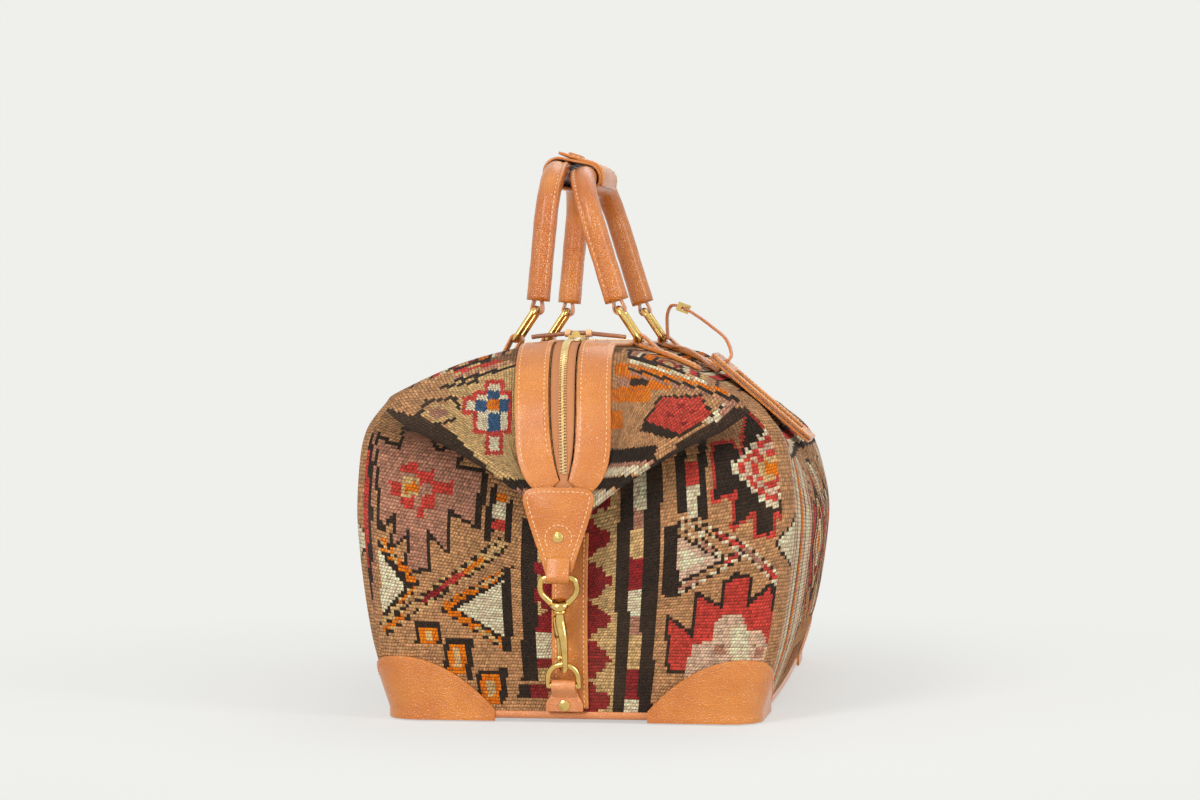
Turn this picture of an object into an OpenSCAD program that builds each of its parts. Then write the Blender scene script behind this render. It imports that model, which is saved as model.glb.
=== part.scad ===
// Woven duffle bag with leather trim and brass hardware, zipped shut with both ends folded down.
// Millimetres. The near end faces -Y, +X is to the right of it, the studs stand on z = 0.

/* [Bag body] */
// Width of the base
base_w = 270; // [250:2:284]
// Length of the base
base_l = 480; // [430:5:540]
// Width of the belly halfway along the bag
belly_w = 338; // [330:2:360]
// Width of the belly at the two ends
end_w = 320; // [306:2:330]
// Height of the widest part
belly_z = 130; // [122:2:140]
// Distance between the ears of each folded end
ear_w = 250; // [236:2:260]
// Height of the ears
ear_z = 239; // [233:1:246]
// Height of the zip ridge
ridge_z = 275; // [268:1:284]
// Straight length of the ridge
ridge_l = 374; // [350:2:390]
// How far the fold at each end stands out past the base
flap_out = 32; // [26:1:38]
// Height of the point of the fold
fold_z = 134; // [126:1:142]
// How far the ears of the far end droop
far_drop = 16; // [0:1:18]
// How far the ears of the far end pull in
far_in = 12; // [0:1:14]

/* [Base] */
// Height of the studs under the base
foot_h = 5; // [4:0.5:7]
// Diameter of a stud
foot_d = 15; // [12:1:20]
// Thickness of the base leather
base_t = 2.6; // [2:0.2:3.4]
// Distance of the studs from the long sides of the base
foot_side = 54; // [44:2:64]
// Distance of the studs from the ends of the base
foot_end = 34; // [28:2:44]
// Height of the corner patches
patch_h = 48; // [36:2:54]

/* [Leather] */
// Thickness of the trim leather
trim_t = 2.1; // [1.6:0.1:2.6]
// Width of each leather band beside the zip
band_w = 26; // [22:1:30]
// Width of the strip down the middle of each end
strip_w = 26; // [20:1:30]
// Width of a handle chape
chape_w = 22; // [18:1:24]
// Length of a handle chape
chape_l = 50; // [40:2:56]

/* [Zip] */
// Width between the leather bands
zip_gap = 19; // [17:1:22]
// Width of the row of teeth
teeth_w = 7; // [6:0.5:8]
// Pitch of the teeth
teeth_pitch = 4; // [3.5:0.5:6]
// Travel of the near slider
near_run = 30; // [10:2:34]

/* [Handles] */
// Diameter of a rolled handle
roll_d = 18; // [16:0.5:19.5]
// Width of the sewn edge of a handle
roll_edge = 2.4; // [1.8:0.1:2.6]
// Distance between the ends of one handle
handle_span = 170; // [168:2:200]
// Height of the grip above the upper ring bars
grip_h = 108; // [88:2:112]
// Distance between the two grips
grip_gap = 22; // [21.6:0.2:26]
// How far the grips lie further to the left than the rings
grip_shift = 11; // [0:1:12]
// Length of the keeper
keeper_l = 88; // [70:2:88]

/* [Rings] */
// Wire of the handle rings
ring_wire = 4.8; // [4:0.2:5.2]
// Distance between the two bars of a ring
ring_h = 28.8; // [26:0.2:31]
// Width of a ring between its two sides
ring_w = 25; // [24.5:0.5:28]
// Distance between the left and right ring pivots
pivot_w = 96; // [94:1:100]
// Distance between the upper bars of the left and right rings
upper_w = 64; // [60:1:70]
// Height of the ring pivots above the ridge
pivot_up = 1.5; // [1:0.5:4]
// How far the ring pivots lie to the left of the base's centre line
pivot_shift = 16; // [12:1:16]

/* [End clip] */
// Width of the keystone tab
tab_w = 51; // [46:1:56]
// Length of the keystone tab above the clip's bar
tab_l = 64; // [58:1:70]
// Width of the tab at its lower end
tab_tip = 17; // [15:0.5:18]
// Wire of the clip's eye and of the D-ring
clip_wire = 4.2; // [3.6:0.2:4.6]
// Height of the clip's eye
eye_h = 25; // [23:1:27]
// Width of the clip's eye between its two sides
eye_w = 26; // [23:0.5:28]
// Stroke of the snap's bolt
bolt_stroke = 6; // [4:0.5:6.5]
// Height of the D-ring
dee_h = 17; // [16:0.5:19]

/* [Luggage tag] */
// Length of the tag
tag_l = 104; // [90:2:110]
// Width of the tag
tag_w = 62; // [54:2:68]
// Width of the tag's strap
strap_w = 8; // [6:0.5:10]

/* [Hidden] */
$fn = 40;
gap = 0.4;
end_y = base_l / 2;
body_z = foot_h + base_t + gap;
ne = 7;
nc = 4;
ns = 6;
i_ear = ne + nc / 2;
i_side = ne + nc;
i_mid = ne + nc + ns;
nose_y = end_y + flap_out;
nose_z = fold_z + 9;
band_x = zip_gap / 2 + band_w;
hem_drop = 38;

// The body's levels below the roof, each with its half width at the ends and halfway along, half length,
// corner radius, height at the ears and halfway along, tuck of the end's centre and height there
levels = [
    [ear_w / 2, ear_w / 2 - 9, end_y + 3, 24, ear_z, ear_z - 9, 3 - flap_out, nose_z],
    [ear_w / 2 + 11, ear_w / 2 + 9, end_y + 6, 26, ear_z - 9, ear_z - 31, 14 - flap_out, fold_z],
    [end_w / 2 - 7, belly_w / 2 - 15, end_y + 3, 28, ear_z - 30, ear_z - 54, 24, fold_z + 46],
    [end_w / 2 - 1, belly_w / 2 - 3, end_y + 7, 28, ear_z - 61, belly_z + 27, 12, fold_z + 8],
    [end_w / 2, belly_w / 2, end_y + 8, 28, belly_z + 4, belly_z - 4, 3, belly_z - 28],
    [0.4 * base_w / 2 + 0.6 * end_w / 2, 0.3 * base_w / 2 + 0.7 * belly_w / 2, end_y + 6, 26,
        belly_z / 2 - 4, belly_z / 2 - 4, 0, belly_z / 2 - 6],
    [base_w / 2, base_w / 2 + 3, end_y, 24, body_z, body_z, 0, body_z]];
n_levels = len(levels) + 3;

function unit(a) = a / norm(a);
function share(t) = min(1, max(0, t));
function side_t(i) = share((i - i_side) / ns);
function plan(i, hw, hl, rc) =
    i <= ne ? [(hw - rc) * i / ne, -hl]
    : i <= i_side
        ? [hw - rc + rc * sin(90 * (i - ne) / nc), rc - hl - rc * cos(90 * (i - ne) / nc)]
        : [hw, (rc - hl) * (1 - side_t(i))];
function level_point(lv, i) =
    let (p = plan(i, lv[0], lv[2], lv[3]), m = sin(90 * side_t(i)), s = share(i / i_ear))
    [p[0] + (lv[1] - lv[0]) * m, p[1] + lv[6] * (1 - s * s),
        lv[4] + (lv[5] - lv[4]) * m + (lv[7] - lv[4]) * (1 - pow(s, 0.75))];
function ridge_point(i, x, start, close) =
    let (u = share(i / i_side), f = start + (90 - start) * u)
    [x * (1 - pow(1 - u, close)),
        -ridge_l / 2 * (1 - side_t(i)) - (nose_y - ridge_l / 2) * pow(cos(f), 0.87),
        nose_z + (ridge_z - nose_z) * pow(sin(f), 0.87) - 0.1 * x * u];
function controls(i) =
    let (a = ridge_point(i, zip_gap / 2, 9, 9), b = ridge_point(i, band_x, 4, 16),
        c = level_point(levels[0], i),
        s = share(i / i_ear))
    concat([a, b, (b + c) / 2 + [0, -10 * s * (1 - s), 4 * s]], [for (lv = levels) level_point(lv, i)]);
function curve(a, b, c, d, t) =
    b + (c - a) * t / 2 + (a - 2.5 * b + 2 * c - d / 2) * t * t
        + (1.5 * b - a / 2 - 1.5 * c + d / 2) * t * t * t;
function along(c, v) =
    let (last = n_levels - 1, j = min(last - 1, floor(v)))
    v <= 1 ? c[0] + (c[1] - c[0]) * v
    : v > last ? c[last] - [0, 0, hem_drop * (v - last)]
    : curve(c[j - 1], c[j], c[j + 1], c[min(last, j + 2)], v - j);
function lean(z) = z > belly_z ? -8 * pow((z - belly_z) / (ridge_z - belly_z), 2) : 0;
// How much of the far end's droop a point takes
function droop(x, y, z) = y < 0 ? 0
    : pow(share(y / end_y), 2) * share((x - 60) / 60) * share((z - belly_z) / (ear_z - belly_z));

// A point of the body's skin: i runs from the near end's centre round to the far end's, negative on the left,
// and v runs from the zip down to the base and on into the hem of the corner patches
function skin_point(i, v) =
    let (a = abs(i), far = a > i_mid, p = along(controls(far ? 2 * i_mid - a : a), v), y = far ? -p[1] : p[1],
        d = droop(p[0], y, p[2]))
    [sign(i) * (p[0] - far_in * d) + lean(p[2]), y, p[2] - far_drop * d];
function skin_normal(i, v) =
    let (e = 0.03, lo = max(0, v - e), hi = v + e)
    unit(cross(skin_point(i, hi) - skin_point(i, lo), skin_point(i + e, v) - skin_point(i - e, v)));
function raised(i, v, h) = skin_point(i, v) + h * skin_normal(i, v);

quarter = concat([0, 0.4], [for (k = [1 : i_mid]) k]);
right_side = concat(quarter, [for (k = [len(quarter) - 2 : -1 : 0]) 2 * i_mid - quarter[k]]);
last_r = len(right_side) - 1;
loop_i = concat(right_side, [for (k = [last_r - 1 : -1 : 1]) -right_side[k]]);
rows_v = concat([0, 1], [for (v = [1.5 : 0.5 : 3]) v], [3.35, 3.7], [for (v = [4 : 0.5 : n_levels - 1]) v]);

// Row of body points for a roof chape at distance x from the ridge line and at length y
function roof_y(v) = along([for (c = controls(i_side)) [c[0], -c[1], c[2]]], v)[1];
function roof_i(y, v) = i_side + ns * (1 - abs(y) / roof_y(v));
function end_i(x, v) = x * ne / along([for (c = concat([levels[0], levels[0], levels[0]], levels))
    [c[0] - c[3], 0, 0]], v)[0];

// The clip hangs straight between the tab and the chape of the D-ring
clip_x = -4;
bar_r = clip_wire / 2;
loop_r = bar_r + 0.3 + trim_t;
tab_face = nose_y + trim_t + gap;
clip_top = [clip_x, -tab_face - loop_r + 0.4, fold_z + 38 - tab_l];
dee_foot_z = body_z + 20;
dee_foot_v = n_levels - 1 - (dee_foot_z - body_z) / (belly_z / 2 - 6 - body_z);
dee_foot = [clip_x, skin_point(0, dee_foot_v)[1] - 2 * gap - trim_t - loop_r - 0.3, dee_foot_z];
clip_run = dee_foot - clip_top;
clip_length = norm(clip_run);
clip_lean = atan2(clip_run[1], -clip_run[2]);
hook_r = 6.6;
hook_wire = 2.4;
hook_low = clip_length - dee_h;
hook_mid = hook_low - hook_r + hook_wire + bar_r + 0.3;
barrel_top = eye_h + 9;

// Handles: ring pivots, upper pivots and the lean of each handle
pivot_y = handle_span / 2;
pivot_z = ridge_z + pivot_up;
ring_c = 5;
ring_rise = sqrt(ring_h * ring_h - pow((pivot_w - upper_w) / 2, 2));
upper_z = pivot_z + ring_rise;
function handle_lean(s) = asin((grip_shift + s * (upper_w - grip_gap) / 2) / grip_h);
function grip_z(s) = upper_z + grip_h * cos(handle_lean(s));
chape_bore = ring_wire / 2 + 0.35;
chape_r = chape_bore + trim_t;
bend_r = 40;
keeper_t = 2.4;
keeper_r = roll_d / 2 + 0.9;
keeper_x = -pivot_shift - grip_shift;
keeper_z = (grip_z(-1) + grip_z(1)) / 2;
keeper_tilt = atan2(grip_z(-1) - grip_z(1), grip_gap);
keeper_gap = grip_gap / cos(keeper_tilt);
edge_turn = 45;
edge_t = 3.2;

// Zip sliders, head to head on the straight ridge
near_y = 5 - ridge_l / 2 + near_run;
far_y = near_y + 20;
ridge_x = lean(ridge_z);
tape_top = ridge_z - 0.1 * zip_gap / 2 + gap + 0.8;

// The tag rests on the right side of the roof; its strap runs from the far right chape and back
tag_v = 3.1;
tag_i = 2 * i_mid - roof_i(30, tag_v);
tag_at = raised(tag_i, tag_v, 1);
tag_n = skin_normal(tag_i, tag_v);
tag_down = unit(cross([0, 1, 0], tag_n));
tag_side = cross(tag_n, tag_down);
slot_x = 9;
slot_at = tag_at + (slot_x + 2 - tag_l / 2) * tag_down + (trim_t + 0.5) * tag_n;
strap_in = [[36.5, 72.2, 277.2], [36, 70.5, 288], [36.5, 69, 298], [40.5, 67, 304.5], [50, 63, 302.5],
    [62, 55, 296], [75, 47, 287], [87, 39, 277]];
strap_out = [[74, 34, 256], [64, 45, 263.5], [53, 58.6, 269], [40.2, 71.4, 271.5]];
strap_route = concat(strap_in, [slot_at + 9 * tag_n, slot_at, slot_at - 7 * tag_n], strap_out);
buckle_k = 4;

leather = [0.82, 0.5, 0.28];
brass = [0.78, 0.63, 0.3];
wool = [0.55, 0.42, 0.31];

function quads(a, b, c, d) = [[a, b, c], [a, c, d]];

// Closed slab over a grid of [i, v] places, between two heights above the skin
module slab(places, low, high) {
    rows = len(places);
    cols = len(places[0]);
    n = rows * cols;
    points = [for (h = [high, low]) for (row = places) for (p = row) raised(p[0], p[1], h)];
    faces = concat(
        [for (r = [0 : rows - 2]) for (c = [0 : cols - 2]) let (a = r * cols + c)
            each concat(quads(a, a + 1, a + cols + 1, a + cols),
                quads(n + a + cols, n + a + cols + 1, n + a + 1, n + a))],
        [for (c = [0 : cols - 2]) let (z = n - cols + c)
            each concat(quads(c + 1, c, n + c, n + c + 1), quads(z, z + 1, n + z + 1, n + z))],
        [for (r = [0 : rows - 2]) let (a = r * cols, b = a + cols - 1)
            each concat(quads(b + cols, b, n + b, n + b + cols), quads(a, a + cols, n + a + cols, n + a))]);
    polyhedron(points, faces);
}

module kilim_body() {
    cols = len(loop_i);
    rows = len(rows_v);
    base = (rows - 1) * cols;
    points = concat([for (v = rows_v) for (i = loop_i) skin_point(i, v)], [[0, 0, body_z]]);
    wall = [for (r = [0 : rows - 2]) for (c = [0 : cols - 1]) let (a = r * cols, d = (c + 1) % cols)
        each quads(a + c, a + d, a + cols + d, a + cols + c)];
    lid = [for (k = [1 : last_r - 2]) each quads(k + 1, k, cols - k, cols - k - 1)];
    tips = [[1, 0, cols - 1], [last_r, last_r - 1, last_r + 1]];
    underside = [for (c = [0 : cols - 1]) [base + cols, base + c, base + (c + 1) % cols]];
    color(wool) polyhedron(points, concat(wall, lid, tips, underside));
}

base_r = 32;
base_in = 3;
module base_panel() {
    color(leather) translate([0, 0, foot_h]) hull()
        for (sx = [-1, 1], sy = [-1, 1])
            translate([sx * (base_w / 2 - base_in - base_r), sy * (end_y - base_in - base_r), 0])
                cylinder(r = base_r, h = base_t);
}

module base_feet() {
    color(brass) for (sx = [-1, 1], sy = [-1, 1])
        translate([sx * (base_w / 2 - foot_side), sy * (end_y - foot_end), 0])
            rotate_extrude() polygon([[0, 0], [foot_d / 2 - 2.5, 0], [foot_d / 2 - 0.8, foot_h * 0.3],
                [foot_d / 2, foot_h * 0.7], [foot_d / 2, foot_h], [0, foot_h]]);
}

// Corner patch, highest at the corner, with a hem that closes round the base
module patch(s) {
    rise = (patch_h - 6) / (belly_z / 2 - 4 - body_z);
    places = [for (f = [1, 0.75, 0.5, 0.25, 0]) [for (k = [-8 : 8]) let (t = s * k / 8)
        [s * (8.7 + t * (t < 0 ? 5.2 : 3.9)),
            n_levels - 1 - f * rise * pow(1 - pow(abs(t) / 1.012, 1.8), 0.8)]]];
    hem = [[for (p = places[4]) [p[0], n_levels - 1 + (body_z - 1) / hem_drop]]];
    color(leather) slab(concat(places, hem), gap, gap + trim_t);
}
module patch_near_right() { patch(1); }
module patch_near_left() { patch(-1); }
module patch_far_right() { rotate([0, 0, 180]) patch(-1); }
module patch_far_left() { rotate([0, 0, 180]) patch(1); }

// Leather bands that run over the ridge and down both folded ends
module band(s) {
    run = [for (k = [1 : last_r - 1]) right_side[k]];
    color(leather) slab([for (v = [0.03, 0.97]) [for (k = [0 : len(run) - 1])
        [s > 0 ? run[k] : -run[len(run) - 1 - k], v]]], gap, gap + trim_t);
}
module band_right() { band(1); }
module band_left() { band(-1); }

// Middle line of the zip with its outward direction
function zip_mid(i) = (skin_point(i, 0) + skin_point(-i, 0)) / 2;
function zip_out(i) = unit(cross([1, 0, 0], zip_mid(i + 0.02) - zip_mid(i - 0.02)));
module zip_run(stops, half, low, highs) {
    last = len(stops) - 1;
    points = [for (k = [0 : last]) let (m = zip_mid(stops[k]), o = zip_out(stops[k]),
            w = min(half, 0.92 * skin_point(stops[k], 0)[0] - 0.92 * m[0]))
        each [m + [-w, 0, 0] + low * o, m + [w, 0, 0] + low * o,
            m + [w, 0, 0] + highs[k] * o, m + [-w, 0, 0] + highs[k] * o]];
    faces = concat(quads(0, 1, 2, 3), quads(4 * last + 3, 4 * last + 2, 4 * last + 1, 4 * last),
        [for (k = [0 : last - 1]) for (c = [0 : 3]) let (a = 4 * k, d = (c + 1) % 4)
            each quads(a + d, a + c, a + 4 + c, a + 4 + d)]);
    polyhedron(points, faces);
}
zip_stops = [for (k = [1 : last_r - 1]) right_side[k]];
module zip_tape() { color(wool) zip_run(zip_stops, zip_gap / 2 - 0.6, gap, [for (k = zip_stops) gap + 0.8]); }
module zip_teeth() {
    straight = floor(ridge_l / 2 / teeth_pitch) * 2;
    bend = 22;
    end_run = [for (k = [1 : bend]) 0.6 + (i_side - 0.7) * k / bend];
    mid_run = [for (k = [0 : 2 * straight]) i_side + 2 * ns * k / (2 * straight)];
    stops = concat(end_run, mid_run, [for (k = [bend - 1 : -1 : 0]) 2 * i_mid - end_run[k]]);
    tops = [for (k = [0 : len(stops) - 1]) gap + (k % 2 == 0 ? 3 : 2.3)];
    color(brass) zip_run(stops, teeth_w / 2, gap + 0.8, tops);
}

// Slider that straddles the teeth, with an eye for its lace
module slider(y) {
    color(brass) translate([ridge_x, y, tape_top]) difference() {
        union() {
            translate([-5.6, -7.5, 0.5]) cube([11.2, 15, 4.3]);
            translate([0, 5.5, 4.8]) rotate([90, 0, 0]) cylinder(r = 3.4, h = 11);
        }
        translate([-teeth_w / 2 - 0.5, -8, -1]) cube([teeth_w + 1, 16, 4.1]);
        translate([-4, 0, 6.5]) rotate([0, 90, 0]) cylinder(r = 1.3, h = 8);
        translate([-6, -8, -8]) cube([12, 16, 8.4]);
    }
}
module slider_near() { slider(near_y); }
module slider_far() { slider(far_y); }

// Leather lace knotted through the slider's eye and lying to one side
module pull(y, s) {
    color(leather) translate([ridge_x, y, tape_top]) union() {
        translate([-6, 0, 6.5]) rotate([0, 90, 0]) cylinder(r = 1.1, h = 12);
        for (k = [-1, 1]) translate([s * 5.6, k * 1.6, 6.5]) rotate([0, 90 * s + 5 * s, 0])
            cylinder(r = 1.7, h = 32);
        translate([s * 7, -3.6, 4.4]) rotate([0, 5 * s, 0]) translate([s > 0 ? 0 : -5, 0, 0]) cube([5, 7.2, 4]);
    }
}
module pull_near() { pull(near_y, 1); }
module pull_far() { pull(far_y, -1); }

module at_end(n) { rotate([0, 0, 180 * n]) children(); }

// Leather strip down the middle of an end
module end_strip(n) {
    places = [for (v = [6.25, 6.6, 7, 7.35, 7.7, 8, 8.2, 8.4, 8.55, 8.7, 8.8, 8.9])
        [for (f = [-1, -0.5, 0, 0.5, 1]) [end_i(f * strip_w / 2, v), v]]];
    color(leather) at_end(n) slab(places, gap, gap + trim_t);
}
module end_strip_near() { end_strip(0); }
module end_strip_far() { end_strip(1); }

// Half outline of the keystone tab, from its tip up: half width and share of the length
keystone = [[tab_tip / 2, 0], [tab_w / 2 - 12, 0.25], [tab_w / 2 - 6.5, 0.5], [tab_w / 2 - 2.5, 0.74],
    [tab_w / 2, 0.91], [tab_w / 2 - 0.6, 0.96], [tab_w / 2 - 3, 0.985], [tab_w / 2 - 14, 1]];

// Keystone tab sewn over the ends of the bands, folded at its tip round the bar of the clip's eye
module end_tab(n) {
    t = trim_t + 0.6;
    z = clip_top[2];
    color(leather) at_end(n) difference() {
        union() {
            translate([clip_x, -tab_face, 0]) rotate([90, 0, 0]) linear_extrude(t)
                polygon([for (s = [-1, 1]) each [for (k = [0 : 7]) let (p = keystone[s < 0 ? k : 7 - k])
                    [s * p[0], z + tab_l * p[1]]]]);
            translate(clip_top) rotate([0, 90, 0]) cylinder(r = loop_r, h = tab_tip, center = true);
        }
        translate(clip_top) rotate([0, 90, 0]) cylinder(r = bar_r + 0.3, h = tab_tip + 2, center = true);
        translate([clip_x, 0, z + tab_l * 0.45]) rotate([90, 0, 0]) cylinder(r = 1.7, h = tab_face + t + 1);
    }
}
module end_tab_near() { end_tab(0); }
module end_tab_far() { end_tab(1); }

module tab_rivet(n) {
    color(brass) at_end(n) translate([clip_x, -tab_face - trim_t - 0.6, clip_top[2] + tab_l * 0.45])
        rotate([90, 0, 0]) {
            translate([0, 0, -trim_t - 0.6]) cylinder(r = 1.6, h = trim_t + 0.7);
            rotate_extrude() polygon([[0, 0], [4, 0], [3.8, 0.8], [2.6, 1.5], [0, 1.8]]);
        }
}
module tab_rivet_near() { tab_rivet(0); }
module tab_rivet_far() { tab_rivet(1); }

// Everything on the clip hangs in one straight line from the tab to the D-ring
module on_clip(n) { at_end(n) translate(clip_top) rotate([clip_lean, 0, 0]) children(); }
module rod(a, b, r) {
    translate(a) rotate([0, acos((b - a)[2] / norm(b - a)), atan2((b - a)[1], (b - a)[0])])
        cylinder(r = r, h = norm(b - a));
}

module clip_eye(n) {
    h = eye_w / 2;
    low = eye_h - 4;
    color(brass) on_clip(n) difference() {
        union() {
            rod([-h, 0, 0], [h, 0, 0], bar_r);
            for (s = [-1, 1]) {
                translate([s * h, 0, 0]) sphere(bar_r);
                rod([s * h, 0, 0], [s * h, 0, -eye_h * 0.42], bar_r);
                translate([s * h, 0, -eye_h * 0.42]) sphere(bar_r);
                rod([s * h, 0, -eye_h * 0.42], [s * 5, 0, -low], bar_r + 0.3);
            }
            translate([0, 0, -low - 2.6]) cylinder(r = 6.4, h = 5.2);
        }
        translate([0, 0, -low - 4]) cylinder(r = 2.5, h = 9);
    }
}
module clip_eye_near() { clip_eye(0); }
module clip_eye_far() { clip_eye(1); }

// The snap turns on its own line; its hook faces outward and to the right
module on_snap(n) { on_clip(n) rotate([0, 0, 26]) children(); }
module clip_hook(n) {
    low = eye_h - 4;
    color(brass) on_snap(n) difference() {
        union() {
            translate([0, 0, -low - 6]) cylinder(r = 2.2, h = 9.5);
            translate([0, 0, -low + 2.9]) cylinder(r = 3.8, h = 1.4);
            translate([0, 0, -low - 5.8]) cylinder(r = 4.6, h = 2.9);
            rod([0, 0, -low - 5], [0, 0, -barrel_top - 2], 3.4);
            rod([0, 0, -barrel_top], [0, -hook_r, -barrel_top - 13], 3);
            translate([0, -hook_r, -barrel_top - 13]) sphere(3.2);
            rod([0, -hook_r, -barrel_top - 13], [0, -hook_r, -hook_mid], 2.6);
            translate([0, 0, -hook_mid]) rotate([90, 0, -90]) rotate([0, 0, 180]) rotate_extrude(angle = 180)
                translate([hook_r, 0]) circle(hook_wire);
            translate([0, hook_r, -hook_mid]) cylinder(r = hook_wire + 0.2, h = 2);
            translate([0, hook_r, -barrel_top - 15]) cylinder(r = 3.3, h = 16);
            rod([0, 0, -barrel_top], [0, hook_r, -barrel_top], 3);
        }
        translate([0, hook_r, -barrel_top - 16]) cylinder(r = 1.8, h = 15);
        translate([0, hook_r - 1.3, -barrel_top - 15.2]) cube([5, 2.6, bolt_stroke + 7]);
    }
}
module clip_hook_near() { clip_hook(0); }
module clip_hook_far() { clip_hook(1); }

module clip_bolt(n) {
    color(brass) on_snap(n) union() {
        translate([0, hook_r, -hook_mid + 2.4]) cylinder(r = 1.5, h = hook_mid - 2.4 - barrel_top - 9);
        translate([0, hook_r, -barrel_top - 12]) rotate([0, 90, 0]) cylinder(r = 1.1, h = 4.4);
        translate([4.2, hook_r, -barrel_top - 12]) rotate([0, 90, 0])
            rotate_extrude() polygon([[0, 0], [2.6, 0], [2.6, 1.2], [1.6, 2], [0, 2]]);
    }
}
module clip_bolt_near() { clip_bolt(0); }
module clip_bolt_far() { clip_bolt(1); }

module dee_ring(n) {
    r = 11;
    color(brass) on_clip(n) translate([0, 0, -clip_length]) {
        rod([-r, 0, 0], [r, 0, 0], bar_r);
        for (s = [-1, 1]) {
            translate([s * r, 0, 0]) sphere(bar_r);
            rod([s * r, 0, 0], [s * r, 0, dee_h - r], bar_r);
        }
        translate([0, 0, dee_h - r]) rotate([90, 0, 0]) rotate_extrude(angle = 180)
            translate([r, 0]) circle(bar_r);
    }
}
module dee_ring_near() { dee_ring(0); }
module dee_ring_far() { dee_ring(1); }

// Place of the rivet on the D-ring's chape
dee_base = 2 * gap + trim_t + 0.25;
dee_t = 2.6;
dee_rivet_v = dee_foot_v + 0.62 * (n_levels - 1.05 - dee_foot_v);
module at_dee_rivet() {
    out = skin_normal(0, dee_rivet_v);
    at = raised(0, dee_rivet_v, dee_base + dee_t);
    translate([clip_x, at[1], at[2]]) rotate([atan2(-out[1], out[2]), 0, 0]) children();
}

// Chape of the D-ring, sewn and riveted over the strip at the foot of the end
module dee_chape(n) {
    wide = 18;
    low = n_levels - 1.05;
    places = [for (f = [0 : 0.125 : 1])
        let (v = dee_foot_v + (low - dee_foot_v) * f, w = wide / 2 + 4.5 * share(2 * f))
        [for (k = [-1 : 0.5 : 1]) [end_i(clip_x + k * w, v), v]]];
    color(leather) at_end(n) difference() {
        union() {
            translate(dee_foot) rotate([0, 90, 0]) cylinder(r = loop_r, h = wide, center = true);
            slab(places, dee_base, dee_base + dee_t);
        }
        translate(dee_foot) rotate([0, 90, 0]) cylinder(r = bar_r + 0.3, h = wide + 2, center = true);
        at_dee_rivet() translate([0, 0, -5]) cylinder(r = 1.7, h = 7);
    }
}
module dee_chape_near() { dee_chape(0); }
module dee_chape_far() { dee_chape(1); }

module dee_rivet(n) {
    color(brass) at_end(n) at_dee_rivet() {
        translate([0, 0, -dee_t]) cylinder(r = 1.55, h = dee_t + 0.3);
        translate([0, 0, 0.2]) rotate_extrude() polygon([[0, 0], [4.2, 0], [4, 0.7], [2.6, 1.3], [0, 1.5]]);
    }
}
module dee_rivet_near() { dee_rivet(0); }
module dee_rivet_far() { dee_rivet(1); }

// Chape of a handle ring: a strap sewn down the roof that rises to a loop round the ring's lower bar
module chape(s, e) {
    x = -pivot_shift + s * pivot_w / 2;
    first = (abs(x - ridge_x) - 3 - band_x) / (ear_w / 2 - band_x) * 2 + 1;
    stops = [for (f = [0 : 0.125 : 1]) first + f * chape_l / (ear_w / 2 - band_x) * 2];
    half = chape_w / 2;
    loop_w = ring_w - 2 * ring_c + 2;
    cols = [for (k = [-1 : 0.5 : 1]) k];
    places = [for (v = stops) [for (k = cols) let (y = e * pivot_y + k * half,
            i = y < 0 ? roof_i(y, v) : 2 * i_mid - roof_i(y, v))
        [s > 0 ? i : -i, v]]];
    ordered = s > 0 ? places : [for (row = places) [for (k = [len(row) - 1 : -1 : 0]) row[k]]];
    seat = raised(ordered[1][2][0], ordered[1][2][1], gap + trim_t);
    color(leather) difference() {
        union() {
            slab(ordered, gap, gap + 1.6 * trim_t);
            hull() {
                translate([x, e * pivot_y, pivot_z]) rotate([90, 0, 0])
                    cylinder(r = chape_r, h = loop_w, center = true);
                translate([seat[0] + s * 4, e * pivot_y, seat[2] - 0.8]) cube([9, loop_w, 1], center = true);
            }
        }
        translate([x, e * pivot_y, pivot_z]) rotate([90, 0, 0])
            cylinder(r = chape_bore, h = chape_w + 4, center = true);
    }
}
module chape_near_right() { chape(1, -1); }
module chape_near_left() { chape(-1, -1); }
module chape_far_right() { chape(1, 1); }
module chape_far_left() { chape(-1, 1); }

// Two brass rings of one side; each ring's lower bar lies in a chape and its upper bar in a handle loop
module ring() {
    w = ring_wire / 2;
    h = ring_w / 2;
    c = ring_c;
    for (z = [0, ring_h]) translate([0, 0, z]) rotate([90, 0, 0])
        cylinder(r = w, h = 2 * (h - c), center = true);
    for (y = [-h, h]) translate([0, y, c]) cylinder(r = w, h = ring_h - 2 * c);
    for (y = [-1, 1], z = [0, 1])
        translate([0, y * (h - c), z > 0 ? ring_h - c : c])
            rotate([90, 0, 90]) rotate([0, 0, y > 0 ? (z > 0 ? 0 : 270) : (z > 0 ? 90 : 180)])
                rotate_extrude(angle = 90) translate([c, 0]) circle(w);
}
module rings(s) {
    tilt = asin((pivot_w - upper_w) / 2 / ring_h);
    color(brass) for (e = [-1, 1])
        translate([-pivot_shift + s * pivot_w / 2, e * pivot_y, pivot_z]) rotate([0, -s * tilt, 0]) ring();
}
module rings_right() { rings(1); }
module rings_left() { rings(-1); }

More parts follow.
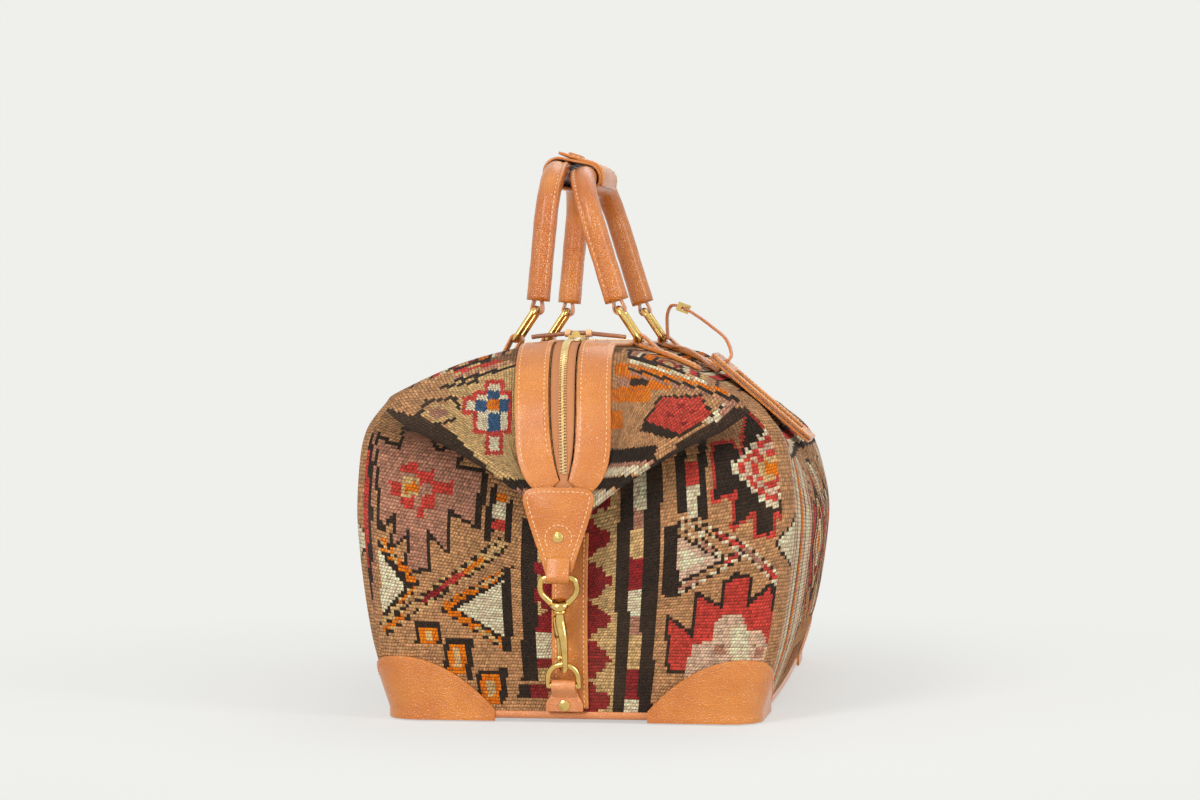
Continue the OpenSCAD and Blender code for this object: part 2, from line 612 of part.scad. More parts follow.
// Rolled handle with its sewn edge turned towards the other handle and the outside of the bow
module in_handle(s) {
    translate([-pivot_shift + s * upper_w / 2, 0, upper_z]) rotate([0, -handle_lean(s), 0]) children();
}
module roll(s, out) {
    circle(roll_d / 2);
    rotate(atan2(out * sin(edge_turn), -s * cos(edge_turn)))
        translate([0, -edge_t / 2]) square([roll_d / 2 + roll_edge, edge_t]);
}
module handle(s) {
    foot = chape_r + 1.4;
    color(leather) in_handle(s) difference() {
        union() {
            for (e = [-1, 1]) {
                translate([0, e * pivot_y, foot]) linear_extrude(grip_h - bend_r - foot) roll(s, e);
                translate([0, e * (pivot_y - bend_r), grip_h - bend_r]) rotate([90, 0, 90])
                    rotate([0, 0, e > 0 ? 0 : 90]) rotate_extrude(angle = 90) translate([bend_r, 0])
                        rotate([0, 0, 90]) roll(s, -1);
            }
            translate([0, pivot_y - bend_r, grip_h]) rotate([90, 0, 0])
                linear_extrude(2 * (pivot_y - bend_r)) roll(s, 1);
        }
        for (e = [-1, 1]) translate([-2.6, e * pivot_y - 7, foot - 1]) cube([5.2, 14, 11]);
    }
}
module handle_right() { handle(1); }
module handle_left() { handle(-1); }

// Leather loops from the handle ends round the upper bars of the rings
module handle_loops() {
    color(leather) for (s = [-1, 1], e = [-1, 1]) in_handle(s) translate([0, e * pivot_y, 0]) difference() {
        union() {
            rotate([90, 0, 0]) cylinder(r = chape_r, h = 13.4, center = true);
            translate([-2.4, -6.7, 0]) cube([4.8, 13.4, chape_r + 10]);
        }
        rotate([90, 0, 0]) cylinder(r = ring_wire / 2 + 0.6, h = 15, center = true);
    }
}

// Leather keeper wrapped round both grips, its free end lapped over the top
module keeper_outline(r) {
    square([keeper_gap, 2 * r], center = true);
    for (s = [-1, 1]) translate([s * keeper_gap / 2, 0]) circle(r);
}
module on_keeper() { translate([keeper_x, 0, keeper_z]) rotate([0, keeper_tilt, 0]) children(); }
lap_turn = 7;
module keeper() {
    r = keeper_r + keeper_t;
    color(leather) on_keeper() translate([0, keeper_l / 2, 0]) rotate([90, 0, 0]) linear_extrude(keeper_l) {
        difference() {
            keeper_outline(r);
            keeper_outline(keeper_r);
        }
        translate([keeper_gap / 2 + 2, r - 1.4]) rotate(-lap_turn) translate([-keeper_gap - 6, 0])
            square([keeper_gap + 6, keeper_t]);
    }
}
module keeper_stud() {
    r = keeper_r + keeper_t;
    color(leather) on_keeper() translate([keeper_gap / 2 + 2, 0, r - 1.4]) rotate([0, lap_turn, 0])
        translate([3 - keeper_gap, 0, keeper_t]) {
            cylinder(r = 7, h = 1.4);
            translate([0, 0, 1.4]) cylinder(r1 = 7, r2 = 5.8, h = 1);
        }
}

// Strap of the luggage tag, one flat tube along its route
module tag_strap() {
    n = len(strap_route);
    sides = 8;
    fine = [for (k = [0 : n - 2]) for (t = [0, 0.5]) curve(strap_route[max(0, k - 1)], strap_route[k],
        strap_route[k + 1], strap_route[min(n - 1, k + 2)], t)];
    line = concat(fine, [strap_route[n - 1]]);
    last = len(line) - 1;
    rings = [for (k = [0 : last]) let (t = unit(line[min(last, k + 1)] - line[max(0, k - 1)]),
            w = unit([0, 1, 0] - t[1] * t), u = cross(t, w))
        [for (a = [0 : sides - 1])
            line[k] + strap_w / 2 * cos(360 * a / sides) * w + 1.2 * sin(360 * a / sides) * u]];
    faces = concat([[for (a = [0 : sides - 1]) a]],
        [[for (a = [sides - 1 : -1 : 0]) last * sides + a]],
        [for (k = [0 : last - 1]) for (a = [0 : sides - 1]) let (b = k * sides, d = (a + 1) % sides)
            each quads(b + d, b + a, b + sides + a, b + sides + d)]);
    color(leather) polyhedron([for (r = rings) each r], faces);
}

module tag_buckle() {
    t = unit(strap_route[buckle_k + 1] - strap_route[buckle_k - 1]);
    w = unit([0, 1, 0] - t[1] * t);
    u = cross(t, w);
    at = strap_route[buckle_k];
    color(brass) multmatrix([[t[0], w[0], u[0], at[0]], [t[1], w[1], u[1], at[1]], [t[2], w[2], u[2], at[2]],
        [0, 0, 0, 1]]) difference() {
        cube([4.4, strap_w + 5, 7.4], center = true);
        cube([6, strap_w + 0.8, 3.6], center = true);
    }
}

// Tag of two leathers with a clear window between them, lying on the roof
module on_tag() {
    multmatrix([[tag_down[0], tag_side[0], tag_n[0], tag_at[0]], [tag_down[1], tag_side[1], tag_n[1], tag_at[1]],
        [tag_down[2], tag_side[2], tag_n[2], tag_at[2]], [0, 0, 0, 1]])
        translate([-tag_l / 2, -tag_w / 2, 0]) children();
}
module tag_outline(inset) {
    r = 8;
    translate([inset, inset + r]) square([tag_l - 2 * inset, tag_w - 2 * inset - 2 * r]);
    translate([inset + r, inset]) square([tag_l - 2 * inset - 2 * r, tag_w - 2 * inset]);
    for (x = [inset + r, tag_l - inset - r], y = [inset + r, tag_w - inset - r]) translate([x, y]) circle(r);
}
module tag_sheet(inset) {
    difference() {
        tag_outline(inset);
        translate([slot_x, tag_w / 2 - strap_w / 2 - 1.6]) square([5.4, strap_w + 3.2]);
    }
}
module tag_back() { color(leather) on_tag() linear_extrude(trim_t) tag_sheet(0); }
module tag_window() {
    color([0.75, 0.77, 0.78]) on_tag() translate([0, 0, trim_t + 0.1]) linear_extrude(0.8) tag_sheet(3);
}
module tag_front() {
    color(leather) on_tag() translate([0, 0, trim_t + 1]) linear_extrude(trim_t) difference() {
        tag_sheet(0);
        translate([22, 12]) square([tag_l - 34, tag_w - 24]);
    }
}

kilim_body();
base_panel();
base_feet();
patch_near_right();
patch_near_left();
patch_far_right();
patch_far_left();
band_right();
band_left();
zip_tape();
zip_teeth();
slider_near();
slider_far();
pull_near();
pull_far();
end_strip_near();
end_strip_far();
end_tab_near();
end_tab_far();
tab_rivet_near();
tab_rivet_far();
clip_eye_near();
clip_eye_far();
clip_hook_near();
clip_hook_far();
clip_bolt_near();
clip_bolt_far();
dee_ring_near();
dee_ring_far();
dee_chape_near();
dee_chape_far();
dee_rivet_near();
dee_rivet_far();
chape_near_right();
chape_near_left();
chape_far_right();
chape_far_left();
rings_right();
rings_left();
handle_right();
handle_left();
handle_loops();
keeper();
keeper_stud();
tag_strap();
tag_buckle();
tag_back();
tag_window();
tag_front();
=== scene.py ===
import bpy
import bmesh
import math
import numpy as np
from mathutils import Matrix, Vector


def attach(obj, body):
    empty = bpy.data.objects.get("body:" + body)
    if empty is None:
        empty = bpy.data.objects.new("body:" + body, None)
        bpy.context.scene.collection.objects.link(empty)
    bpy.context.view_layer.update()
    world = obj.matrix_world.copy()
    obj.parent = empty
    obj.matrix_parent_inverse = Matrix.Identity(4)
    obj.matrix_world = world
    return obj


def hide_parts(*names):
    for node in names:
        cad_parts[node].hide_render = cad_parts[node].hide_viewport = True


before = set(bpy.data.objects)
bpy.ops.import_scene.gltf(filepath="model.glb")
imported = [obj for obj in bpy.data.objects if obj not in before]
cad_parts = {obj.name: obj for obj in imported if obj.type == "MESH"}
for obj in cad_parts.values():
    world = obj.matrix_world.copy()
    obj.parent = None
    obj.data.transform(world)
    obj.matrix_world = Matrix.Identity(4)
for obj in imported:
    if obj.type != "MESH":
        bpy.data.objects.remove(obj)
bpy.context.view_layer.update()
rng = np.random.default_rng(7)
print("frame loaded")

# camera at the photograph's angle, for a 1200 x 800 picture
view = dict(yaw=7.46, pitch=1.18, focalPx=3055.0, depth=2.2, aim=(0.0, -0.246, 0.008),
            right=-0.0216, up=-0.2254)


def makeCamera():
    yaw, pitch = math.radians(view["yaw"]), math.radians(view["pitch"])
    ahead = Vector((-math.sin(yaw) * math.cos(pitch), math.cos(yaw) * math.cos(pitch), -math.sin(pitch)))
    right = Vector((math.cos(yaw), math.sin(yaw), 0))
    up = right.cross(ahead)
    place = Vector(view["aim"]) - view["depth"] * ahead - view["right"] * right - view["up"] * up
    data = bpy.data.cameras.new("camera")
    data.sensor_width = 36
    data.lens = view["focalPx"] / 1200 * 36
    cam = bpy.data.objects.new("camera", data)
    turn = Matrix((right, up, -ahead)).transposed().to_4x4()
    cam.matrix_world = Matrix.Translation(place) @ turn
    bpy.context.collection.objects.link(cam)
    bpy.context.scene.camera = cam


makeCamera()
print("camera placed")


# shader sockets as values
class Sock:
    def __init__(self, shade, socket):
        self.shade = shade
        self.socket = socket

    def calc(self, operation, first, second):
        return self.shade.node("ShaderNodeMath", {"operation": operation}, {0: first, 1: second})

    def __add__(self, other):
        return self.calc("ADD", self, other)

    def __radd__(self, other):
        return self.calc("ADD", other, self)

    def __sub__(self, other):
        return self.calc("SUBTRACT", self, other)

    def __rsub__(self, other):
        return self.calc("SUBTRACT", other, self)

    def __mul__(self, other):
        return self.calc("MULTIPLY", self, other)

    def __rmul__(self, other):
        return self.calc("MULTIPLY", other, self)

    def __pow__(self, other):
        return self.calc("POWER", self, other)


class Shade:
    def __init__(self, name):
        self.mat = bpy.data.materials.new(name)
        self.mat.use_nodes = True
        self.tree = self.mat.node_tree
        self.tree.nodes.clear()
        self.out = self.tree.nodes.new("ShaderNodeOutputMaterial")
        self.skin = self.tree.nodes.new("ShaderNodeBsdfPrincipled")
        self.tree.links.new(self.skin.outputs[0], self.out.inputs[0])

    def node(self, kind, settings=None, inputs=None, out=0):
        made = self.tree.nodes.new(kind)
        for key, value in (settings or {}).items():
            if key == "stops":
                self.stops(made, value)
            else:
                setattr(made, key, value)
        for key, value in (inputs or {}).items():
            self.put(made.inputs[key], value)
        return Sock(self, made.outputs[out])

    def stops(self, made, stops):
        ramp = made.color_ramp
        while len(ramp.elements) < len(stops):
            ramp.elements.new(0.5)
        for element, (place, colour) in zip(ramp.elements, stops):
            element.position = place
            element.color = colour

    def put(self, socket, value):
        if isinstance(value, Sock):
            self.tree.links.new(value.socket, socket)
        else:
            socket.default_value = value

    def set(self, **values):
        for key, value in values.items():
            self.put(self.skin.inputs[key.replace("_", " ")], value)

    def mix(self, first, second, share, blend="MIX"):
        return self.node("ShaderNodeMix", {"data_type": "RGBA", "blend_type": blend},
                         {0: share, 6: first, 7: second}, 2)

    def grain(self, where, scale, detail=3.0, rough=0.55):
        return self.node("ShaderNodeTexNoise", {}, {"Vector": where, "Scale": scale, "Detail": detail,
                                                    "Roughness": rough})

    def remap(self, value, *ends):
        return self.node("ShaderNodeMapRange", {}, dict(enumerate((value, *ends))))

    def cells(self, where, scale, feature="F1"):
        return self.node("ShaderNodeTexVoronoi", {"feature": feature}, {"Vector": where, "Scale": scale})

    def bump(self, height, strength, distance, under=None):
        inputs = {"Height": height, "Strength": strength, "Distance": distance}
        if under is not None:
            inputs["Normal"] = under
        return self.node("ShaderNodeBump", {}, inputs)

    def place(self):
        return self.node("ShaderNodeTexCoord", {}, {}, 3)

    def uv(self):
        return self.node("ShaderNodeUVMap", {"uv_map": "cells"})


def linear(rgb):
    c = np.asarray(rgb, float) / 255
    return np.where(c <= 0.04045, c / 12.92, ((c + 0.055) / 1.055) ** 2.4)


def dye(rgb):
    return (*[float(c) for c in linear(rgb)], 1.0)


hide = dict(base=(196, 110, 32), light=(212, 130, 48), deep=(130, 64, 18), pebble=560, pore=1500)


def makeLeather(name, base, light, deep, creases=False, gloss=0.27):
    s = Shade(name)
    at = s.place()
    blotch = s.grain(at, 26, 4)
    tone = s.mix(dye(base), dye(light), s.remap(blotch, 0.38, 0.66))
    pebble = s.cells(at, hide["pebble"], "DISTANCE_TO_EDGE")
    pits = s.remap(pebble, 0.0, 0.2, 0.2, 0.0)
    tone = s.mix(tone, dye(deep), pits)
    stain = s.remap(s.grain(at, 9, 5), 0.56, 0.8, 0.0, 0.18)
    tone = s.mix(tone, dye(deep), stain)
    height = s.remap(pebble, 0.0, 0.3) + s.grain(at, hide["pore"], 2) * 0.3
    normal = s.bump(height, 0.5, 0.0007)
    if creases:
        along = s.node("ShaderNodeMapping", {}, {"Vector": s.uv(), "Scale": (0.22, 1.0, 1.0)})
        fold = s.node("ShaderNodeTexNoise", {}, {"Vector": along, "Scale": 0.42, "Detail": 3.0,
                                                 "Distortion": 0.5})
        cut = s.remap(fold, 0.36, 0.46)
        tone = s.mix(dye(deep), tone, 0.93 + cut * 0.07)
        normal = s.bump(cut, 0.22, 0.0007, normal)
    s.set(Base_Color=tone, Roughness=gloss - 0.02 + s.grain(at, 120, 2) * 0.1, Normal=normal)
    s.skin.inputs["Coat Weight"].default_value = 0.4
    s.skin.inputs["Coat Roughness"].default_value = 0.24
    return s.mat


def makeBrass(name, base=(226, 192, 116), dull=(160, 122, 64)):
    s = Shade(name)
    at = s.place()
    wear = s.remap(s.grain(at, 160, 4), 0.5, 0.78, 0.0, 0.55)
    tone = s.mix(dye(base), dye(dull), wear)
    s.set(Base_Color=tone, Metallic=1.0, Roughness=0.12 + s.grain(at, 420, 3) * 0.14 + wear * 0.16,
          Normal=s.bump(s.grain(at, 900, 2), 0.06, 0.0003))
    return s.mat


def makeKilim(name):
    s = Shade(name)
    at = s.place()
    wool = s.node("ShaderNodeAttribute", {"attribute_name": "dye"})
    cell = s.uv()
    split = s.node("ShaderNodeSeparateXYZ", {}, {0: cell})
    across = Sock(s, split.socket.node.outputs[0])
    down = Sock(s, split.socket.node.outputs[1])
    stray = s.grain(at, 150, 2) - 0.5
    slant = s.node("ShaderNodeMath", {"operation": "FRACT"}, {0: across + down * 0.5 + stray * 1.1})
    rise = s.node("ShaderNodeMath", {"operation": "FRACT"}, {0: down + (s.grain(at, 110, 3) - 0.5) * 0.8})
    knot = (slant * (1 - slant) * 4) ** 0.6 * (rise * (1 - rise) * 4) ** 0.7
    fuzz = s.grain(at, 2400, 3)
    fade = s.grain(at, 14, 4)
    # painted shade: a darkened copy of the wool fills the gaps between the knots
    gap = s.node("ShaderNodeHueSaturation", {}, {"Value": 0.26, "Color": wool})
    tone = s.mix(wool, gap, 0.75 - knot * 0.75)
    tone = s.mix(tone, dye((176, 138, 102)), s.remap(fade, 0.5, 0.85, 0.0, 0.14))
    # painted highlight: a brightened copy of the wool laid over the fuzz
    glint = s.node("ShaderNodeHueSaturation", {}, {"Value": 1.65, "Color": wool})
    glint = s.mix(glint, dye((238, 206, 164)), 0.2)
    tone = s.mix(tone, glint, s.remap(fuzz, 0.5, 0.75, 0.0, 0.6))
    s.set(Base_Color=tone, Roughness=0.93, Normal=s.bump(knot + fuzz * 0.5, 0.95, 0.0018))
    s.skin.inputs["Sheen Weight"].default_value = 0.05
    s.skin.inputs["Specular IOR Level"].default_value = 0.1
    return s.mat


def makeTape(name):
    s = Shade(name)
    at = s.place()
    weave = s.node("ShaderNodeTexWave", {"wave_type": "BANDS", "bands_direction": "DIAGONAL"},
                   {"Vector": at, "Scale": 900.0, "Distortion": 2.0})
    tone = s.mix(dye((166, 106, 66)), dye((216, 147, 98)), weave * 0.6 + s.grain(at, 700, 2) * 0.3)
    s.set(Base_Color=tone, Roughness=0.88, Normal=s.bump(weave, 0.4, 0.0004))
    return s.mat


def makeThread(name, light, dark):
    s = Shade(name)
    at = s.place()
    ply = s.node("ShaderNodeTexWave", {"wave_type": "BANDS"},
                 {"Vector": at, "Scale": 700.0, "Distortion": 3.0})
    s.set(Base_Color=s.mix(dye(light), dye(dark), ply * 0.5 + s.grain(at, 500, 2) * 0.3), Roughness=0.8,
          Normal=s.bump(ply, 0.3, 0.0003))
    return s.mat


def makeWindow(name):
    s = Shade(name)
    at = s.place()
    haze = s.grain(at, 60, 4)
    s.set(Base_Color=s.mix(dye((232, 228, 220)), dye((184, 175, 160)), haze), Roughness=0.16 + haze * 0.2,
          Normal=s.bump(s.grain(at, 25, 2), 0.12, 0.002))
    return s.mat


tan = makeLeather("tanLeather", hide["base"], hide["light"], hide["deep"])
rolled = makeLeather("rolledLeather", (194, 106, 34), (212, 130, 52), (122, 58, 20), True, 0.19)
rose = makeLeather("chapeLeather", (206, 124, 64), (226, 146, 88), (154, 84, 40))
dark = makeLeather("darkLeather", (148, 88, 50), (178, 110, 64), (88, 50, 28))
brass = makeBrass("wornBrass")
pale = makeBrass("toothBrass", (244, 220, 168), (206, 174, 112))
kilim = makeKilim("kilimWool")
tape = makeTape("zipTape")
cream = makeThread("creamThread", (250, 210, 162), (230, 170, 116))
tonal = makeThread("tanThread", (236, 158, 98), (172, 106, 62))
clear = makeWindow("tagWindow")
print("materials made")


# the bag's skin, in millimetres
# i runs from the near end's centre to the far end's, v from the zip to the base
bag = dict(baseW=270, endY=240, bellyW=338, endW=320, bellyZ=130, earW=250, earZ=239, ridgeZ=275, ridgeL=374,
           flapOut=32, foldZ=134, bodyZ=8.0, zipGap=19, bandW=26, hemDrop=38, lean=-8,
           farDrop=16, farIn=12)


def bodyLevels():
    b, y = bag, bag["endY"]
    ear, end, belly, base = b["earW"] / 2, b["endW"] / 2, b["bellyW"] / 2, b["baseW"] / 2
    noseZ = b["foldZ"] + 9
    return np.array([
        [ear, ear - 9, y + 3, 24, b["earZ"], b["earZ"] - 9, 3 - b["flapOut"], noseZ],
        [ear + 11, ear + 9, y + 6, 26, b["earZ"] - 9, b["earZ"] - 31, 14 - b["flapOut"], b["foldZ"]],
        [end - 7, belly - 15, y + 3, 28, b["earZ"] - 30, b["earZ"] - 54, 24, b["foldZ"] + 46],
        [end - 1, belly - 3, y + 7, 28, b["earZ"] - 61, b["bellyZ"] + 27, 12, b["foldZ"] + 8],
        [end, belly, y + 8, 28, b["bellyZ"] + 4, b["bellyZ"] - 4, 3, b["bellyZ"] - 28],
        [0.4 * base + 0.6 * end, 0.3 * base + 0.7 * belly, y + 6, 26, b["bellyZ"] / 2 - 4,
         b["bellyZ"] / 2 - 4, 0, b["bellyZ"] / 2 - 6],
        [base, base + 3, y, 24, b["bodyZ"], b["bodyZ"], 0, b["bodyZ"]]])


levels = bodyLevels()
noseY = bag["endY"] + bag["flapOut"]
noseZ = bag["foldZ"] + 9
bandX = bag["zipGap"] / 2 + bag["bandW"]


def share(t):
    return np.clip(t, 0.0, 1.0)


def levelPoint(lv, i):
    hw, hm, hl, rc, ze, zm, tuck, zc = lv
    a = np.radians(90 * (np.clip(i, 7, 11) - 7) / 4)
    t = share((i - 11) / 6)
    x = np.where(i <= 7, (hw - rc) * i / 7, np.where(i > 11, hw, hw - rc + rc * np.sin(a)))
    y = np.where(i <= 7, -hl, np.where(i > 11, (rc - hl) * (1 - t), rc - hl - rc * np.cos(a)))
    m, s = np.sin(np.pi / 2 * t), share(i / 9)
    return np.stack([x + (hm - hw) * m, y + tuck * (1 - s * s),
                     ze + (zm - ze) * m + (zc - ze) * (1 - s ** 0.75)], -1)


def ridgePoint(i, x, start, close):
    u = share(i / 11)
    f = np.radians(start + (90 - start) * u)
    half = bag["ridgeL"] / 2
    return np.stack([x * (1 - (1 - u) ** close),
                     -half * (1 - share((i - 11) / 6)) - (noseY - half) * np.abs(np.cos(f)) ** 0.87,
                     noseZ + (bag["ridgeZ"] - noseZ) * np.sin(f) ** 0.87 - 0.1 * x * u], -1)


def controls(i):
    a, b, c = ridgePoint(i, bag["zipGap"] / 2, 9, 9), ridgePoint(i, bandX, 4, 16), levelPoint(levels[0], i)
    s = share(i / 9)
    belly = (b + c) / 2 + np.stack([0 * s, -10 * s * (1 - s), 4 * s], -1)
    return np.stack([a, b, belly] + [levelPoint(lv, i) for lv in levels], -2)


def pick(c, j):
    return np.take_along_axis(c, np.clip(j, 0, 9)[..., None, None], -2)[..., 0, :]


def along(c, v):
    j = np.minimum(8, np.floor(v)).astype(int)
    j = np.maximum(j, 0)
    t = (v - j)[..., None]
    p0, p1, p2, p3 = pick(c, j - 1), pick(c, j), pick(c, j + 1), pick(c, j + 2)
    bend = (p1 + (p2 - p0) * t / 2 + (p0 - 2.5 * p1 + 2 * p2 - p3 / 2) * t ** 2
            + (1.5 * p1 - p0 / 2 - 1.5 * p2 + p3 / 2) * t ** 3)
    flat = c[..., 0, :] + (c[..., 1, :] - c[..., 0, :]) * v[..., None]
    hem = c[..., 9, :] - np.array([0, 0, bag["hemDrop"]]) * (v[..., None] - 9)
    return np.where(v[..., None] <= 1, flat, np.where(v[..., None] > 9, hem, bend))


def skin(i, v):
    i, v = np.broadcast_arrays(np.asarray(i, float), np.asarray(v, float))
    a = np.abs(i)
    far = a > 17
    x, y, z = np.moveaxis(along(controls(np.where(far, 34 - a, a)), v), -1, 0)
    high = share((z - bag["bellyZ"]) / (bag["earZ"] - bag["bellyZ"]))
    droop = share(-y / bag["endY"]) ** 2 * share((x - 60) / 60) * high
    droop = np.where(far, droop, 0)
    tip = np.clip((z - bag["bellyZ"]) / (bag["ridgeZ"] - bag["bellyZ"]), 0, None)
    return np.stack([np.sign(i) * (x - bag["farIn"] * droop) + bag["lean"] * tip ** 2, np.where(far, -y, y),
                     z - bag["farDrop"] * droop], -1)


def unit(a):
    return a / np.maximum(np.linalg.norm(a, axis=-1, keepdims=True), 1e-9)


def skinOut(i, v):
    i, v = np.broadcast_arrays(np.asarray(i, float), np.asarray(v, float))
    e = 0.03
    return unit(np.cross(skin(i, v + e) - skin(i, np.maximum(0, v - e)), skin(i + e, v) - skin(i - e, v)))


def raised(i, v, h):
    return skin(i, v) + np.asarray(h)[..., None] * skinOut(i, v)


def roofI(y, v):
    length = -along(controls(np.full(np.shape(v), 11.0)), np.asarray(v, float))[..., 1]
    near = 11 + 6 * (1 - np.abs(y) / length)
    return np.where(np.asarray(y) < 0, near, 34 - near)


def endI(x, v):
    spans = np.array([levels[0][0] - levels[0][3]] * 3 + [lv[0] - lv[3] for lv in levels])
    c = np.stack([spans, 0 * spans, 0 * spans], -1)
    v = np.asarray(v, float)
    return x * 7 / along(np.broadcast_to(c, v.shape + c.shape), v)[..., 0]


# meshes
def solid(name, verts, faces, mat, body, slot, nodes=(), bevel=0.0, mats=None, faceMat=None, uv=None):
    mesh = bpy.data.meshes.new(name)
    mesh.from_pydata((np.asarray(verts, float) / 1000).tolist(), [], [list(map(int, f)) for f in faces])
    for m in [mat] + list(mats or []):
        mesh.materials.append(m)
    if faceMat is not None:
        mesh.polygons.foreach_set("material_index", np.asarray(faceMat, np.int32))
    mesh.polygons.foreach_set("use_smooth", np.ones(len(mesh.polygons), bool))
    if uv is not None:
        layer = mesh.uv_layers.new(name="cells")
        loops = np.empty(len(mesh.loops), np.int32)
        mesh.loops.foreach_get("vertex_index", loops)
        layer.data.foreach_set("uv", np.asarray(uv, np.float32)[loops].ravel())
    mesh.validate()
    obj = bpy.data.objects.new(name, mesh)
    bpy.context.collection.objects.link(obj)
    if bevel:
        mod = obj.modifiers.new("edge", "BEVEL")
        mod.width, mod.segments, mod.limit_method = bevel / 1000, 2, "ANGLE"
        mod.angle_limit = math.radians(48)
    ridePiece(obj, body, slot, nodes)
    return obj


def ridePiece(obj, body, slot, nodes=()):
    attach(obj, body)
    if nodes:
        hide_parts(*nodes)


def gridFaces(rows, cols, start=0, flip=False):
    a = start + np.arange(rows - 1)[:, None] * cols + np.arange(cols - 1)[None, :]
    quad = np.stack([a, a + 1, a + cols + 1, a + cols], -1).reshape(-1, 4)
    return quad[:, ::-1] if flip else quad


def closeSheet(top, low):
    rows, cols = top.shape[:2]
    n = rows * cols
    c, r = np.arange(cols - 1), np.arange(rows - 1) * cols
    z, b = n - cols + c, r + cols - 1
    sides = ((c + 1, c, n + c, n + c + 1), (z, z + 1, n + z + 1, n + z),
             (b + cols, b, n + b, n + b + cols), (r, r + cols, n + r + cols, n + r))
    faces = np.concatenate([gridFaces(rows, cols), gridFaces(rows, cols, n, True)]
                           + [np.stack(q, -1) for q in sides])
    return np.concatenate([top.reshape(-1, 3), low.reshape(-1, 3)]), faces


def slabOnSkin(name, i, v, low, high, mat, nodes, bevel=0.6, turn=1.0):
    verts, faces = closeSheet(raised(i, v, np.full(i.shape, high)), raised(i, v, np.full(i.shape, low)))
    verts = verts * turn
    solid(name, verts, outwards(verts, faces, verts.mean(0)), mat, "bag", "leather", nodes, bevel)


def outwards(verts, faces, mid):
    p = verts[np.asarray(faces)]
    bulk = np.einsum("ij,ij->i", p[:, 0] - mid, np.cross(p[:, 1] - mid, p[:, 2] - mid)
                     + np.cross(p[:, 2] - mid, p[:, 3] - mid)).sum()
    return faces if bulk > 0 else np.asarray(faces)[:, ::-1]


def stripSection(width, thick, r=0.6):
    pts = []
    for sx, sy, start in ((1, 1, 0), (-1, 1, 90), (-1, -1, 180), (1, -1, 270)):
        for a in (0, 45, 90):
            t = math.radians(start + a)
            pts.append((sx * (width / 2 - r) + r * math.cos(t), sy * (thick / 2 - r) + r * math.sin(t)))
    return np.array(pts)


def sweep(path, across, up, section, closed=False):
    n, m = len(path), len(section)
    pts = path[:, None] + section[None, :, :1] * across[:, None] + section[None, :, 1:] * up[:, None]
    k = np.arange(n if closed else n - 1)
    a, c = np.meshgrid(k, np.arange(m), indexing="ij")
    b, d = (a + 1) % n, (c + 1) % m
    quads = np.stack([a * m + c, a * m + d, b * m + d, b * m + c], -1).reshape(-1, 4)
    verts = pts.reshape(-1, 3)
    ends = []
    if not closed:
        for ring, flip in ((0, True), (n - 1, False)):
            mid = len(verts)
            verts = np.concatenate([verts, path[ring][None]])
            for c in range(m):
                q = (ring * m + c, ring * m + (c + 1) % m, mid)
                ends.append(q[::-1] if flip else q)
    faces = [tuple(q) for q in quads] + ends
    p = verts[quads]
    out = np.cross(p[:, 2] - p[:, 0], p[:, 3] - p[:, 1])
    facing = np.einsum("ij,ij->i", out, p.mean(1) - path[quads[:, 0] // m]).sum()
    if facing < 0:
        faces = [f[::-1] for f in faces]
    return verts, faces


def smooth(points, per):
    p = np.asarray(points, float)
    q = np.concatenate([[2 * p[0] - p[1]], p, [2 * p[-1] - p[-2]]])
    t = np.linspace(0, 1, per, endpoint=False)[:, None]
    parts = []
    for k in range(len(p) - 1):
        a, b, c, d = q[k:k + 4]
        parts.append(b + (c - a) * t / 2 + (a - 2.5 * b + 2 * c - d / 2) * t ** 2
                     + (1.5 * b - a / 2 - 1.5 * c + d / 2) * t ** 3)
    return np.concatenate(parts + [p[-1:]])


def evenly(points, step):
    p = np.asarray(points, float)
    run = np.concatenate([[0], np.cumsum(np.linalg.norm(np.diff(p, axis=0), axis=1))])
    s = np.linspace(0, run[-1], max(2, int(round(run[-1] / step)) + 1))
    return np.stack([np.interp(s, run, p[:, k]) for k in range(3)], -1)


# stitches wait here by body and thread until every seam is known
seams = {}


def sew(body, thread, points, outs, pitch=4.0, lift=0.15):
    p, o = np.asarray(points, float), np.asarray(outs, float)
    run = np.concatenate([[0], np.cumsum(np.linalg.norm(np.diff(p, axis=0), axis=1))])
    count = int(run[-1] // pitch)
    if count < 1:
        return
    s = (np.arange(count) + 0.5) * run[-1] / count
    at = np.stack([np.interp(s, run, p[:, k]) for k in range(3)], -1)
    ahead = np.stack([np.interp(np.minimum(s + 0.5, run[-1]), run, p[:, k]) for k in range(3)], -1)
    back = np.stack([np.interp(np.maximum(s - 0.5, 0), run, p[:, k]) for k in range(3)], -1)
    out = unit(np.stack([np.interp(s, run, o[:, k]) for k in range(3)], -1))
    seams.setdefault((body, thread), []).append((at + lift * out, unit(ahead - back), out))


def sewOnSkin(i, v, h, thread="creamThread", pitch=4.0, turn=1.0):
    sew("bag", thread, raised(i, v, np.full(np.shape(i), h)) * turn, skinOut(i, v) * turn, pitch)


# woven cloth: motifs laid out in millimetres on the end of the bag, X right and Z up
# shade is a painted shadow colour, used under the flaps' fold, not a wool dye
dyes = dict(camel=(208, 150, 100), straw=(226, 182, 120), cream=(250, 226, 186), blush=(236, 192, 160),
            black=(46, 32, 24), red=(218, 66, 54), wine=(156, 26, 34), pink=(194, 134, 106),
            orange=(255, 126, 0), blue=(48, 92, 130), umber=(142, 100, 68), shade=(62, 43, 31))


